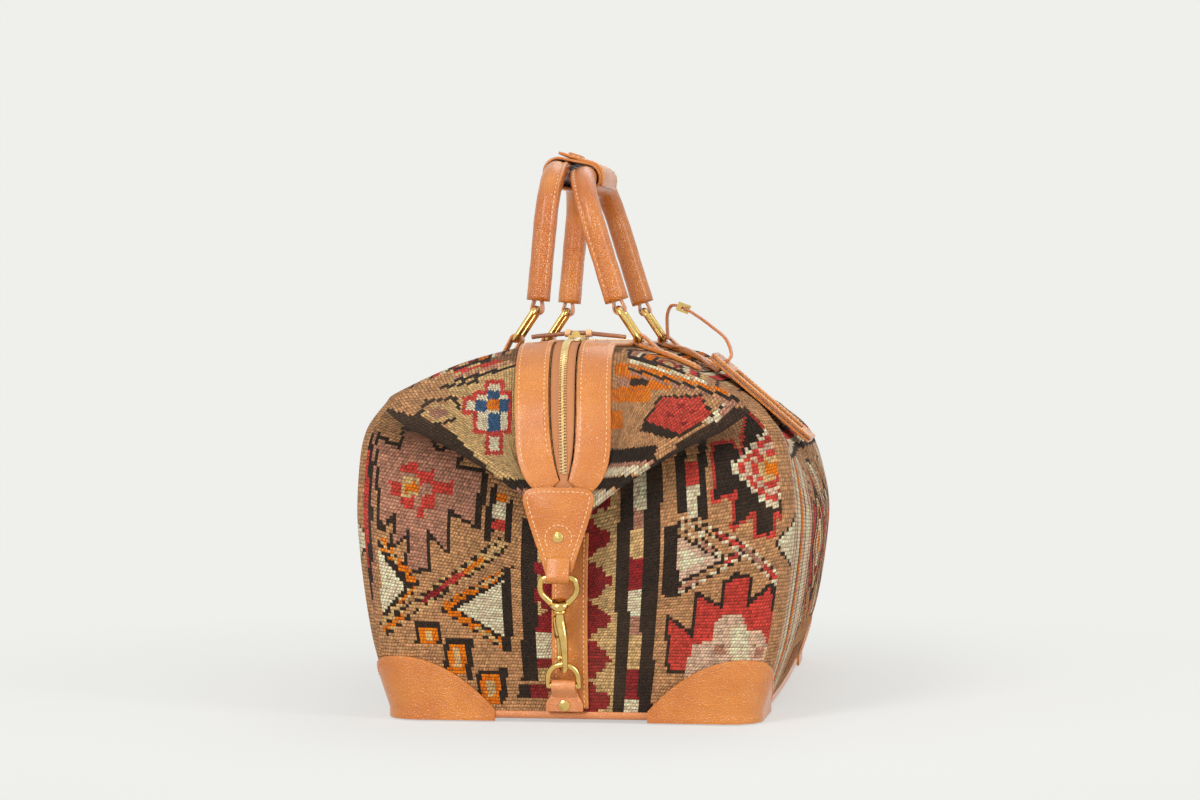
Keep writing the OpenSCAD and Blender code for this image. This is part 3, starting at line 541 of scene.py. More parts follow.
class Loom:
    def __init__(self, x, z, ground):
        self.x, self.z = x, z
        self.wool = np.tile(linear(dyes[ground]), (len(x), 1))

    def fill(self, mask, name):
        self.wool[mask] = linear(dyes[name])

    def block(self, x0, x1, z0, z1, name):
        self.fill((self.x > x0) & (self.x < x1) & (self.z > z0) & (self.z < z1), name)

    def inside(self, points):
        hit = np.zeros(len(self.x), bool)
        for (ax, az), (bx, bz) in zip(points, points[1:] + points[:1]):
            if az != bz:
                cross = ax + (self.z - az) * (bx - ax) / (bz - az)
                hit ^= ((self.z > min(az, bz)) & (self.z <= max(az, bz)) & (self.x < cross))
        return hit

    def shape(self, points, name, rim=None, wide=3.0):
        if rim:
            for a, b in zip(points, points[1:] + points[:1]):
                self.line(a, b, 2 * wide, rim)
        self.fill(self.inside(points), name)

    def reach(self, a, b):
        dx, dz = b[0] - a[0], b[1] - a[1]
        length = math.hypot(dx, dz)
        t = ((self.x - a[0]) * dx + (self.z - a[1]) * dz) / length
        d = ((self.x - a[0]) * dz - (self.z - a[1]) * dx) / length
        return t, d, length

    def line(self, a, b, wide, name):
        t, d, length = self.reach(a, b)
        self.fill((np.abs(d) < wide / 2) & (t > -wide / 2) & (t < length + wide / 2), name)

    def rope(self, a, b, wide, edge, core, pitch=4.4):
        t, d, length = self.reach(a, b)
        hit = (np.abs(d) < wide / 2) & (t > 0) & (t < length)
        odd = (np.floor(t / pitch) + np.floor(d / pitch)) % 2 > 0
        self.fill(hit, edge[0])
        self.fill(hit & odd, edge[1])
        turn = np.clip((t / length * len(core)).astype(int), 0, len(core) - 1)
        for k, name in enumerate(core):
            self.fill(hit & (np.abs(d) < wide / 5) & (turn == k), name)

    def steps(self, x, z, rx, rz, names, step=4.4):
        across, up = np.abs(self.x - x), np.abs(self.z - z)
        far = np.floor(across / step) * step / rx + np.floor(up / step) * step / rz
        for k, name in enumerate(names):
            self.fill(far < 1 - k / len(names), name)


def weaveLeftWall(m):
    m.shape([(-142, 206), (-125, 197), (-121, 211), (-104, 210), (-99, 196), (-80, 197), (-85, 182),
             (-65, 181), (-69, 143), (-90, 155), (-90, 125), (-104, 139), (-105, 111), (-119, 111),
             (-116, 141), (-129, 128), (-127, 153), (-138, 141)], "pink", "black", 2.6)
    for x0, x1, z0, z1 in ((-125, -111, 180, 187), (-113, -99, 172, 182), (-101, -85, 165, 174),
                           (-132, -124, 163, 174), (-123, -114, 155, 164), (-110, -99, 155, 164),
                           (-113, -106, 148, 155)):
        m.block(x0, x1, z0, z1, "red")
    m.block(-124, -110, 163, 177, "straw")
    m.block(-120, -112, 166, 173, "orange")
    m.shape([(-65, 181), (-60, 181), (-65, 140), (-71, 140)], "black")
    m.shape([(-59, 171), (-53, 171), (-57, 132), (-63, 132)], "black")
    m.shape([(-46, 160), (-41, 160), (-43, 131), (-48, 131)], "black")
    m.block(-56, -47, 146, 159, "cream")
    m.block(-57, -47, 139, 146, "red")
    m.block(-54, -46, 160, 166, "orange")
    m.shape([(-140, 134), (-110, 99), (-137, 69)], "black")
    m.rope((-139, 131), (-112, 99), 6, ("black", "orange"), ("straw", "orange"))
    m.rope((-112, 99), (-137, 72), 6, ("black", "straw"), ("orange", "straw"))
    m.shape([(-140, 124), (-121, 98), (-138, 76)], "cream")
    m.shape([(-43, 113), (-94, 83), (-43, 52)], "black")
    m.rope((-46, 110), (-92, 83), 6, ("black", "orange"), ("straw", "orange"))
    m.rope((-92, 83), (-46, 55), 6, ("black", "orange"), ("orange", "straw"))
    m.shape([(-49, 103), (-83, 82), (-49, 63)], "cream")
    m.block(-49, -42, 52, 113, "black")
    m.rope((-137, 66), (-48, 130), 10, ("black", "straw"),
           ("orange", "camel", "wine", "red", "orange", "straw"))
    for x0, x1, z0, z1 in ((-110, -97, 56, 69), (-89, -76, 35, 57), (-65, -51, 14, 35)):
        m.block(x0 - 3, x1 + 3, z0, z1 + 3, "black")
        m.block(x0, x1, z0, z1, "orange")
        m.block(x0 + 4, x1 - 4, z0 + 4, z1 - 4, "straw")
    m.block(-76, -71, 31, 61, "black")
    m.block(-51, -46, 17, 40, "black")
    m.block(-35, -24, 30, 147, "black")
    m.block(-24, -12, 66, 79, "wine")
    m.block(-24, -12, 48, 66, "cream")
    m.block(-24, -12, 40, 48, "wine")
    m.block(-24, -12, 30, 40, "straw")
    m.block(-38, -29, 18, 28, "black")
    m.block(-29, -15, 17, 28, "wine")
    m.block(-24, -12, 79, 150, "straw")
    for z in (92, 112, 132):
        m.steps(-13, z, 11, 10, ("wine",))
    for x0, x1, name in ((-200, -157, "umber"), (-157, -154, "black"), (-154, -151, "cream"),
                         (-151, -148, "red"), (-148, -145, "black"), (-145, -143, "pink")):
        m.fill((m.x > x0) & (m.x < x1), name)


def weaveRightWall(m):
    m.block(12, 35, 5, 175, "straw")
    for z, r in ((161, 9), (134, 10), (104, 13), (76, 10), (47, 13), (17, 10)):
        m.steps(13, z, 16, r, ("wine",), 3.3)
    lean = (m.z - 9) / 159
    lines = ((31, 41, 36, 46, "black"), (40, 49, 46, 55, "tan"), (49, 59, 55, 67, "black"))
    for b0, b1, t0, t1, name in lines:
        hit = (m.x > b0 + (t0 - b0) * lean) & (m.x < b1 + (t1 - b1) * lean)
        if name == "tan":
            for z0, z1, wool in ((155, 190, "cream"), (141, 155, "pink"), (120, 141, "straw"),
                                 (97, 120, "wine"), (79, 97, "cream"), (65, 79, "pink"),
                                 (41, 65, "straw"), (17, 41, "wine"), (0, 17, "cream")):
                m.fill(hit & (m.z > z0) & (m.z <= z1), wool)
        else:
            m.fill(hit, name)
    m.block(77, 84, 152, 207, "black")
    m.block(84, 93, 150, 178, "cream")
    m.block(84, 96, 172, 190, "red")
    m.block(93, 99, 149, 212, "black")
    for x, z0, z1 in ((102, 190, 203), (106, 180, 194), (110, 170, 184), (114, 161, 174)):
        m.block(x, x + 6, z0, z1, "red")
    m.shape([(104, 201), (117, 203), (124, 193), (128, 226), (140, 212), (155, 199), (160, 178), (154, 150),
             (146, 156), (145, 138), (135, 138), (134, 156), (118, 143), (121, 170), (104, 162), (106, 178)],
            "black", "red", 2.4)
    m.steps(145, 185, 25, 25, ("cream", "red", "blush", "red", "straw", "orange"), 4.6)
    m.rope((79, 149), (110, 117), 8, ("black", "cream"), ("camel", "pink"))
    m.rope((74, 95), (128, 127), 8, ("black", "cream"), ("pink", "camel", "red"))
    m.rope((83, 149), (128, 127), 7, ("black", "cream"), ("camel", "red"))
    m.rope((125, 128), (168, 90), 9, ("black", "cream"), ("pink", "red", "cream"))
    m.shape([(77, 137), (109, 119), (76, 102)], "blush", "black", 1.6)
    m.shape([(80, 128), (98, 119), (80, 110)], "cream")
    m.block(67, 78, 93, 143, "black")
    m.shape([(168, 150), (149, 131), (166, 112)], "cream", "black", 2.0)
    crown = [(72, 39), (72, 76), (90, 63), (93, 93), (110, 84), (113, 103), (121, 107), (129, 106),
             (126, 85), (145, 100), (147, 65), (152, 72), (150, 39)]
    m.shape(crown, "red", "black", 2.8)
    m.shape([(82, 30), (88, 58), (102, 62), (104, 74), (112, 80), (124, 80), (128, 70), (138, 68),
             (146, 54), (150, 30)], "blush")
    m.block(116, 129, 44, 70, "cream")
    m.block(104, 112, 52, 60, "pink")
    m.block(133, 140, 50, 58, "pink")


def weaveFlaps(m):
    m.fill((m.x < 5) & (m.x > -88), "straw")
    m.fill(m.x > 5, "camel")
    cross = ((-62, -48, 235, 248), (-78, -42, 223, 236), (-70, -42, 209, 240), (-61, -48, 194, 210))
    for x0, x1, z0, z1 in cross:
        m.block(x0, x1, z0, z1, "red")
    for x0, x1, z0, z1 in cross:
        m.block(x0 + 3, x1 - 3, z0 + 3, z1 - 3, "cream")
    for x0, x1, z0, z1 in ((-60, -51, 233, 240), (-69, -60, 225, 233), (-51, -44, 225, 234),
                           (-59, -50, 211, 224)):
        m.block(x0, x1, z0, z1, "blue")
    m.block(-60, -51, 226, 234, "orange")
    for a, b in (((-95, 242), (-67, 247)), ((-104, 232), (-84, 235)), ((-104, 232), (-110, 222)),
                 ((-110, 222), (-98, 215)), ((-98, 215), (-84, 219)), ((-84, 235), (-80, 227))):
        m.line(a, b, 2.4, "black")
    m.steps(-96, 224, 9, 6, ("straw", "pink"), 2.2)
    for k, name in enumerate(("black", "pink", "red", "black", "camel", "pink")):
        m.line((-84, 247 + 3.2 * k), (-24, 262 + 3.2 * k), 2.4, name)
    m.block(-58, -22, 262, 275, "umber")
    for z0, z1, name in ((170, 177, "black"), (163, 170, "pink"), (153, 163, "black"), (140, 153, "umber")):
        m.fill((m.x < 5) & (m.x > -64) & (m.z > z0) & (m.z < z1), name)
    for z0, z1, name in ((186, 196, "black"), (183, 186, "pink"), (177, 183, "cream"), (168, 176, "black"),
                         (157, 167, "cream"), (140, 157, "umber")):
        m.fill((m.x > 5) & (m.x < 62) & (m.z > z0 + 0.08 * m.x) & (m.z < z1 + 0.08 * m.x), name)
    for x0, x1, z0, z1 in ((36, 74, 241, 256), (30, 58, 232, 242), (23, 38, 213, 226), (33, 43, 252, 260)):
        m.block(x0, x1, z0, z1, "orange")
    m.block(34, 43, 243, 250, "pink")
    m.block(44, 56, 244, 249, "black")
    m.shape([(50, 212), (54, 219), (66, 234), (94, 236), (101, 224), (78, 207), (72, 206)], "black")
    m.shape([(55, 219), (66, 235), (94, 236), (101, 224), (80, 209)], "red", "black", 1.6)
    for x, z in ((70, 222), (78, 228), (86, 224), (80, 216)):
        m.block(x, x + 4, z, z + 2.6, "wine")
    m.rope((100, 216), (118, 232), 8, ("black", "cream"), ("cream", "pink"))
    for k, name in enumerate(("pink", "black", "cream", "orange", "black", "pink")):
        m.line((44, 262 - 3 * k + 6), (122, 240 - 3 * k + 6), 2.2, name)
    # painted shadow: flap cells below the folded edge are filled with the dark shade dye
    low = np.interp(m.x, (-140, -110, -86, -60, -36, 18, 45, 79, 100, 122),
                    (229, 221, 211, 185, 158, 150, 176, 203, 216, 228))
    m.fill((m.z < low) & (np.abs(m.x) > 20), "shade")


def weaveEnd(p, v):
    x = p[:, 0] + (p[:, 1] + 246) * 0.131
    z = p[:, 2] + (p[:, 1] + 246) * 0.02
    wall = Loom(x, z, "camel")
    weaveLeftWall(wall)
    weaveRightWall(wall)
    flap = Loom(x, z, "camel")
    weaveFlaps(flap)
    painted_fold_shade = np.interp(v, (4.2, 4.3, 4.7, 5.5), (1.0, 0.45, 0.6, 1.0))  # painted shade: wool darkened just under the fold, where the fold's shadow falls
    return np.where((v < 4.3)[:, None], flap.wool, wall.wool) * painted_fold_shade[:, None]


def weaveSide(p, v, w):
    y, z = p[:, 1], p[:, 2]
    m = Loom(y, z, "camel")
    for k in (0, 1):
        c = 116 * k - 58
        m.shape([(c - 62, 120), (c - 40, 152), (c - 20, 148), (c, 176), (c + 20, 148), (c + 40, 152),
                 (c + 62, 120), (c + 40, 88), (c + 20, 92), (c, 64), (c - 20, 92), (c - 40, 88)],
                "pink" if k else "red", "black", 3)
        m.steps(c, 120, 46, 44, ("black", "cream", "red", "orange", "blue") if k else
                ("black", "straw", "wine", "cream", "orange"))
        for s in (-1, 1):
            m.shape([(c + s * 74, 60), (c + s * 74, 100), (c + s * 46, 62)], "cream", "black", 2.4)
            m.shape([(c + s * 74, 180), (c + s * 74, 142), (c + s * 46, 178)], "cream", "black", 2.4)
            m.rope((c + s * 70, 104), (c + s * 18, 54), 8, ("black", "orange"), ("straw", "wine", "orange"))
            m.rope((c + s * 70, 138), (c + s * 18, 186), 8, ("black", "cream"), ("pink", "red", "camel"))
        for x in (-30, -8, 14, 36):
            m.block(c + x - 5, c + x + 8, 20, 40, "black")
            m.block(c + x - 3, c + x + 5, 22, 38, "orange" if x % 3 else "wine")
    for d0, d1, name in ((116, 119, "black"), (119, 132, "blush"), (132, 136, "red"), (136, 158, "cream"),
                         (158, 161, "black"), (161, 174, "blush"), (174, 186, "orange"), (186, 189, "black"),
                         (189, 204, "cream"), (204, 207, "black"), (207, 219, "blush"), (219, 260, "camel")):
        m.fill((np.abs(y) > d0) & (np.abs(y) < d1), name)
    for z0, z1, name in ((190, 194, "black"), (194, 199, "cream"), (199, 204, "red"), (204, 207, "black"),
                         (207, 260, "camel")):
        m.fill((z > z0) & (z < z1) & (np.abs(y) < 204), name)
    for s in (-1, 1):
        m.shape([(s * 221, 150), (s * 221, 112), (s * 247, 131)], "cream", "black", 2.0)
    roof = Loom(y, w, "camel")
    for w0, w1, name in ((0, 6, "umber"), (9, 12, "black"), (12, 18, "pink"), (18, 21, "cream"),
                         (21, 24, "black"), (24, 31, "orange"), (31, 34, "black"), (52, 55, "black"),
                         (55, 60, "cream"), (60, 66, "red"), (66, 69, "black"), (69, 76, "straw"),
                         (76, 79, "pink"), (82, 85, "black")):
        roof.fill((w > w0) & (w < w1), name)
    for k in range(-5, 6):
        roof.steps(44 * k, 43, 14, 8, ("wine" if k % 2 else "blue", "straw"), 2.2)
    return np.where((v < 3)[:, None], roof.wool, m.wool)


def spread(low, high, step, at):
    fine = np.linspace(low, high, 600)
    run = np.concatenate([[0], np.cumsum(np.linalg.norm(np.diff(at(fine), axis=0), axis=1))])
    return np.interp(np.linspace(0, run[-1], int(run[-1] / step) + 1), run, fine)


cloth = dict(cell=2.5)


def clothPanel(name, low, high, turn=None):
    i = spread(low, high, cloth["cell"], lambda t: skin(t, np.full(t.shape, 6.6)))
    if name == "kilim_far":
        i = np.concatenate([i, -i[::-1][1:]])
    lead = 8.0 if turn is not None else math.copysign(14.0, low)
    down = [spread(a, b, cloth["cell"], lambda t: skin(np.full(t.shape, lead), t))[:-1] for a, b in
            ((0.9, 3), (3, 6), (6, 9))]
    v = np.concatenate([[0.0, 0.5]] + down + [[9.0]])
    ii, vv = np.meshgrid(i, v)
    pts = skin(ii, vv)
    rows, cols = ii.shape
    faces = gridFaces(rows, cols)
    verts = pts.reshape(-1, 3)
    mids = verts[faces].mean(1)
    fv = vv.ravel()[faces].mean(1)
    if turn is not None:
        wool = weaveEnd(mids * turn, fv)
    else:
        w = np.concatenate([np.zeros((1, cols)), np.cumsum(np.linalg.norm(np.diff(pts, axis=0), axis=2), 0)])
        w = w - np.array([np.interp(1.0, v, w[:, c]) for c in range(cols)])
        wool = weaveSide(mids, fv, w.ravel()[faces].mean(1))
    rowTone = np.repeat(1 + 0.2 * (rng.random(rows - 1) - 0.5), cols - 1)[:, None]
    cellTone = 1 + 0.6 * (rng.random((len(wool), 1)) - 0.5)
    hueTone = 1 + 0.08 * (rng.random((len(wool), 3)) - 0.5)
    wool = wool * rowTone * cellTone * hueTone
    col, row = np.meshgrid(np.arange(cols), np.arange(rows))
    p = verts[faces]
    facing = np.cross(p[:, 1] - p[:, 0], p[:, 3] - p[:, 0])
    if np.einsum("ij,ij->i", facing, mids - np.array([0, 0, 120])).sum() < 0:
        faces = faces[:, ::-1]
    obj = solid(name, verts, faces, kilim, "bag", "kilim", ("kilim_body",),
                uv=np.stack([col.ravel(), row.ravel()], -1))
    layer = obj.data.color_attributes.new("dye", "FLOAT_COLOR", "CORNER")
    rgba = np.ones((len(faces) * 4, 4), np.float32)
    rgba[:, :3] = np.repeat(np.clip(wool, 0, 1), 4, 0)
    layer.data.foreach_set("color", rgba.ravel())


# luggage tag: the strap is a flat cord from the far right chape through the tag's slot and back
tagFrame = dict(at=(115.728, 29.999, 228.463), out=(0.649844, -0.001042, 0.760067),
                down=(0.760067, 0, -0.649844), long=104, wide=62, slotX=9, strapW=8, strapT=2.2)
tagAt, tagOut, tagDown = (np.array(tagFrame[k], float) for k in ("at", "out", "down"))
tagOut = unit(tagOut)
tagSide = np.cross(tagOut, tagDown)
slotAt = tagAt + (tagFrame["slotX"] + 2 - tagFrame["long"] / 2) * tagDown + 2.6 * tagOut
strapRoute = [(36.5, 72.2, 277.2), (36, 70.5, 288), (36.5, 69, 298), (40.5, 67, 304.5), (50, 63, 302.5),
              (62, 55, 296), (75, 47, 287), (87, 39, 277), slotAt + 9 * tagOut, slotAt, slotAt - 7 * tagOut,
              (74, 34, 256), (64, 45, 263.5), (53, 58.6, 269), (40.2, 71.4, 271.5)]


def tagStrap():
    path = smooth(strapRoute, 10)
    ahead = unit(np.gradient(path, axis=0))
    across = unit(np.array([0, 1, 0]) - ahead[:, 1:2] * ahead)
    up = np.cross(ahead, across)
    verts, faces = sweep(path, across, up, stripSection(tagFrame["strapW"], tagFrame["strapT"], 0.5))
    strap = solid("tag_strap_leather", verts, faces, rose, "bag", "leather", ("tag_strap",))


tagStrap()
print("tag strap made")

clothPanel("kilim_near", -9.0, 9.0, np.array([1.0, 1.0, 1.0]))
clothPanel("kilim_far", 25.0, 34.0, np.array([-1.0, -1.0, 1.0]))
clothPanel("kilim_right", 9.0, 25.0)
clothPanel("kilim_left", -25.0, -9.0)


def clothUnder():
    i = np.concatenate([np.linspace(0, 34, 120), np.linspace(-34, 0, 120)[1:-1]])
    rim = skin(i, np.full(i.shape, 9.0))
    n = len(i)
    verts = np.concatenate([rim, rim * np.array([0.6, 0.6, 1]), [[0, 0, bag["bodyZ"]]]])
    faces = [(k, n + k, n + (k + 1) % n, (k + 1) % n) for k in range(n)]
    faces += [(n + k, 2 * n, n + (k + 1) % n) for k in range(n)]
    p = verts[list(faces[0])]
    if np.cross(p[1] - p[0], p[2] - p[0])[2] > 0:
        faces = [f[::-1] for f in faces]
    solid("kilim_under", verts, faces, dark, "bag", "kilim", ("kilim_body",))


clothUnder()
print("kilim woven")


# leather on the skin
trim = dict(low=0.4, thick=2.1, stitch=3.2)
topH = trim["low"] + trim["thick"]


def band(name, s):
    i = s * spread(0.4, 33.6, 3.0, lambda t: skin(t, np.full(t.shape, 0.5)))
    ii, vv = np.meshgrid(i, np.linspace(0.03, 0.97, 6))
    slabOnSkin(name + "_leather", ii, vv, trim["low"], topH, tan, (name,))
    run = i[(np.abs(i) > 1.6) & (np.abs(i) < 32.4)]
    inset = trim["stitch"] / bag["bandW"] * 0.94
    for v in (0.03 + inset, 0.97 - inset):
        sewOnSkin(run, np.full(run.shape, v), topH)


band("band_right", 1)
band("band_left", -1)

corner = dict(mid=8.7, ahead=5.2, aside=3.9, high=48)


def patch(name, s, far):
    rise = (corner["high"] - 6) / (bag["bellyZ"] / 2 - 4 - bag["bodyZ"])
    k = np.sin(np.linspace(-1, 1, 61) * np.pi / 2)
    i = corner["mid"] + np.where(k < 0, corner["ahead"], corner["aside"]) * k
    away = k + 0.26  # the top of the arch stands a little ahead of the corner
    away = away / np.where(away < 0, 0.75, 1.275)
    arch = (1 - np.abs(away) ** 2.1) ** 0.75
    f = np.concatenate([np.linspace(1, 0, 14), [-0.02, -0.05]])
    vv = 9 - f[:, None] * rise * arch[None, :]
    vv[-2:] = np.array([9 + 3 / 38, 9 + 7 / 38])[:, None]
    ii = np.broadcast_to(i, vv.shape)
    if far:
        ii = 34 - ii
    slabOnSkin(name + "_leather", s * ii, vv, trim["low"], topH, tan, (name,))
    keep = (arch * rise * 53 > 7)
    edge = 9 - rise * arch[keep] + 3.0 / 53
    sewOnSkin(s * ii[0][keep], edge, topH, "tanThread", 4.2)


patch("patch_near_right", 1, False)
patch("patch_near_left", -1, False)
patch("patch_far_right", 1, True)
patch("patch_far_left", -1, True)

rimRoll = dict(r=3.4, z=6.0, inset=2.2)


def baseRim():
    i = np.concatenate([np.linspace(0, 34, 150), np.linspace(-34, 0, 150)[1:-1]])
    rim = skin(i, np.full(i.shape, 9.0))
    out = unit(skinOut(i, np.full(i.shape, 8.9)) * np.array([1, 1, 0]))
    path = rim * np.array([1, 1, 0]) + np.array([0, 0, rimRoll["z"]]) - rimRoll["inset"] * out
    a = np.linspace(0, 2 * np.pi, 12, endpoint=False)
    section = rimRoll["r"] * np.column_stack([np.cos(a), np.sin(a)])
    verts, faces = sweep(path, out, np.broadcast_to(np.array([0, 0, 1.0]), path.shape), section, True)
    solid("base_rim_leather", verts, faces, rose, "bag", "leather")


baseRim()

turnBack = np.array([-1.0, -1.0, 1.0])


def bothEnds(make):
    make("near", np.array([1.0, 1.0, 1.0]))
    make("far", turnBack)


def endStrip(end, turn):
    v = np.linspace(6.25, 8.9, 40)
    f = np.linspace(-1, 1, 7)
    vv, ff = np.meshgrid(v, f, indexing="ij")
    ii = endI(ff * 13, vv)
    slabOnSkin("end_strip_%s_leather" % end, ii, vv, trim["low"], topH, tan, ("end_strip_" + end,), 0.6, turn)
    for side in (-10, 10):
        sewOnSkin(endI(side, v), v, topH, "creamThread", 3.6, turn)


bothEnds(endStrip)

tab = dict(x=-4.0, face=274.5, thick=2.7, foot=108.0, high=64.0, wide=51.0, tip=17.0, loopMid=3.45,
           bar=(-278.6, 108.0), tails=((-276.6, 122.0), (-274.9, 122.0)))


def tabOutline(inset=0.0):
    w, t, h, z = tab["wide"] / 2, tab["tip"] / 2, tab["high"], tab["foot"]
    side = [(t, 0.0), (w - 12, 0.25), (w - 6.5, 0.5), (w - 1.8, 0.74), (w, 0.86), (w - 0.9, 0.93),
            (w - 4.5, 0.98), (w - 13, 1.0), (0, 1.0)]
    pts = np.array([(x, z + h * f) for x, f in side])
    right = smooth(np.column_stack([pts, np.zeros(len(pts))]), 6)[:, :2]
    both = np.concatenate([right, right[-2::-1] * np.array([-1, 1])])
    if inset:
        ahead = unit(np.gradient(both, axis=0))
        both = both + inset * np.column_stack([-ahead[:, 1], ahead[:, 0]])
    return both


def plate(outline, holes=()):
    bm = bmesh.new()
    edges = []
    for loop in (outline, *holes):
        vs = [bm.verts.new((float(a), float(b), 0.0)) for a, b in loop]
        edges += [bm.edges.new((vs[k], vs[(k + 1) % len(vs)])) for k in range(len(vs))]
    bmesh.ops.triangle_fill(bm, use_beauty=True, use_dissolve=False, edges=edges)
    grown = bmesh.ops.extrude_face_region(bm, geom=bm.faces[:])
    moved = [g for g in grown["geom"] if isinstance(g, bmesh.types.BMVert)]
    bmesh.ops.translate(bm, vec=(0, 0, 1), verts=moved)
    bmesh.ops.recalc_face_normals(bm, faces=bm.faces[:])
    bm.verts.index_update()
    verts = np.array([v.co[:] for v in bm.verts])
    faces = [[v.index for v in f.verts] for f in bm.faces]
    bm.free()
    return verts, faces


def loopRound(centre, r, tails, ccw):
    ends = []
    for k, t in enumerate(tails):
        d = np.array(t) - centre
        dist, a = np.hypot(*d), math.atan2(d[1], d[0])
        turn = math.acos(min(1, r / dist))
        sign = 1 if (k == 0) == ccw else -1
        ends.append(a + sign * turn)
    a0, a1 = ends
    sweepBy = (a1 - a0) % (2 * math.pi) if ccw else -((a0 - a1) % (2 * math.pi))
    arc = a0 + sweepBy * np.linspace(0, 1, 25)
    ring = centre + r * np.column_stack([np.cos(arc), np.sin(arc)])
    return np.concatenate([[tails[0]], ring, [tails[1]]])


def foldedLoop(name, place, path2, width, thick, mat, body, nodes=()):
    p = evenly(np.column_stack([path2, np.zeros(len(path2))]), 1.2)[:, :2]
    g = unit(np.gradient(p, axis=0))
    path = np.array([place(a, b) for a, b in p])
    up = np.array([place(-b, a) for a, b in g]) - place(0, 0)
    across = np.cross(unit(np.gradient(path, axis=0)), up)
    verts, faces = sweep(path, across, up, stripSection(width, thick, min(0.6, thick / 3)))
    return solid(name, verts, faces, mat, body, "leather", nodes)


def endTab(end, turn):
    verts, faces = plate(tabOutline())
    y = -tab["face"] - tab["thick"] * verts[:, 2]
    shaped = np.column_stack([verts[:, 0] + tab["x"], y, verts[:, 1]]) * turn
    solid("end_tab_%s_leather" % end, shaped, [f[::-1] for f in faces], tan, "bag", "leather",
          ("end_tab_" + end,), 0.8)
    out = np.array([0, -1.0, 0]) * turn

    def lay(line):
        depth = np.full(len(line), -tab["face"] - tab["thick"])
        return np.column_stack([line[:, 0] + tab["x"], depth, line[:, 1]]) * turn

    rim = tabOutline(3.2)[4:-4]
    sew("bag", "creamThread", lay(rim), np.broadcast_to(out, (len(rim), 3)), 3.4)
    a = np.radians(np.linspace(-40, 220, 30))
    arch = np.column_stack([9.5 * np.cos(a), tab["foot"] + 0.45 * tab["high"] + 9.5 * np.sin(a) - 1])
    sew("bag", "creamThread", lay(arch), np.broadcast_to(out, (len(arch), 3)), 3.2)
    path2 = loopRound(np.array(tab["bar"]), tab["loopMid"], tab["tails"], True)
    foldedLoop("tab_loop_" + end, lambda a, b: np.array([tab["x"], a, b]) * turn, path2, tab["tip"] - 0.6,
               2.0, tan, "bag", ("end_tab_" + end,))


bothEnds(endTab)

dee = dict(x=-4.0, footZ=28.0, footY=-249.945, wide=18.0, low=3.15, thick=2.6)


def deeChape(end, turn):
    footV = 9 - (dee["footZ"] - bag["bodyZ"]) / (bag["bellyZ"] / 2 - 6 - bag["bodyZ"])
    v = np.linspace(footV + 0.02, 8.95, 16)
    f = np.linspace(0, 1, 16)
    k = np.linspace(-1, 1, 7)
    vv, kk = np.meshgrid(v, k, indexing="ij")
    ii = endI(dee["x"] + kk * (dee["wide"] / 2 + 4.5 * share(2 * f[:, None])), vv)
    high = dee["low"] + dee["thick"]
    slabOnSkin("dee_chape_%s_leather" % end, ii, vv, dee["low"], high, rose, ("dee_chape_" + end,), 0.7, turn)
    for s in (-1, 1):
        i = endI(dee["x"] + s * (dee["wide"] / 2 - 2.6 + 4.5 * share(2 * f)), v)
        sewOnSkin(i, v, high, "tanThread", 3.2, turn)
    seat = raised(np.array([0.0]), v[4:5], np.array([high - 1.0]))[0]
    under = raised(np.array([0.0]), v[4:5], np.array([dee["low"] + 0.6]))[0]
    path2 = loopRound(np.array([dee["footY"], dee["footZ"]]), tab["loopMid"],
                      [(under[1], under[2]), (seat[1], seat[2])], False)
    foldedLoop("dee_loop_" + end, lambda a, b: np.array([dee["x"], a, b]) * turn, path2, dee["wide"] - 0.6,
               2.0, rose, "bag", ("dee_chape_" + end,))


bothEnds(deeChape)

snap = dict(top=(-4.0, -278.6, 108.0), lean=19.7066, turn=26.0, eyeHalf=13.0, eyeLow=21.0, wire=2.1,
            barrelTop=34.0, hookR=6.6, hookMid=66.177, hookTip=2.4)


def tube(path, radii, sides=14, closed=False):
    path = np.asarray(path, float)
    ahead = unit(np.roll(path, -1, 0) - np.roll(path, 1, 0)) if closed else unit(np.gradient(path, axis=0))
    flat = unit(np.linalg.svd(path - path.mean(0))[2][2])  # across the curve's own plane
    across = unit(flat - (ahead @ flat)[:, None] * ahead)
    a = np.linspace(0, 2 * np.pi, sides, endpoint=False)
    circle = np.column_stack([np.cos(a), np.sin(a)])
    verts, faces = sweep(path, across, np.cross(ahead, across), circle, closed)
    core = np.repeat(path, sides, 0)
    n = len(core)
    verts[:n] = core + (verts[:n] - core) * np.repeat(np.broadcast_to(radii, len(path)), sides)[:, None]
    return verts, faces


def lathe(profile, base, sides=24):
    a = np.linspace(0, 2 * np.pi, sides, endpoint=False)
    rings = [np.column_stack([r * np.cos(a), r * np.sin(a), np.full(sides, z)]) for r, z in profile]
    verts = np.concatenate(rings) + np.asarray(base, float)
    n = len(profile)
    faces = []
    for k in range(n - 1):
        a, b = k * sides, (k + 1) * sides
        faces += [(a + c, a + (c + 1) % sides, b + (c + 1) % sides, b + c) for c in range(sides)]
    faces += [tuple(range(sides - 1, -1, -1)), tuple(range((n - 1) * sides, n * sides))]
    return verts, faces


def together(parts):
    verts, faces, start = [], [], 0
    for v, f in parts:
        verts.append(v)
        faces += [tuple(int(q) + start for q in face) for face in f]
        start += len(v)
    return np.concatenate(verts), faces


def onClip(p, turned, end):
    t = math.radians(snap["turn"]) if turned else 0.0
    c, d = math.cos(t), math.sin(t)
    x, y, z = p[:, 0] * c - p[:, 1] * d, p[:, 0] * d + p[:, 1] * c, p[:, 2]
    u, w = math.cos(math.radians(snap["lean"])), math.sin(math.radians(snap["lean"]))
    return (np.column_stack([x, y * u - z * w, y * w + z * u]) + np.array(snap["top"])) * end


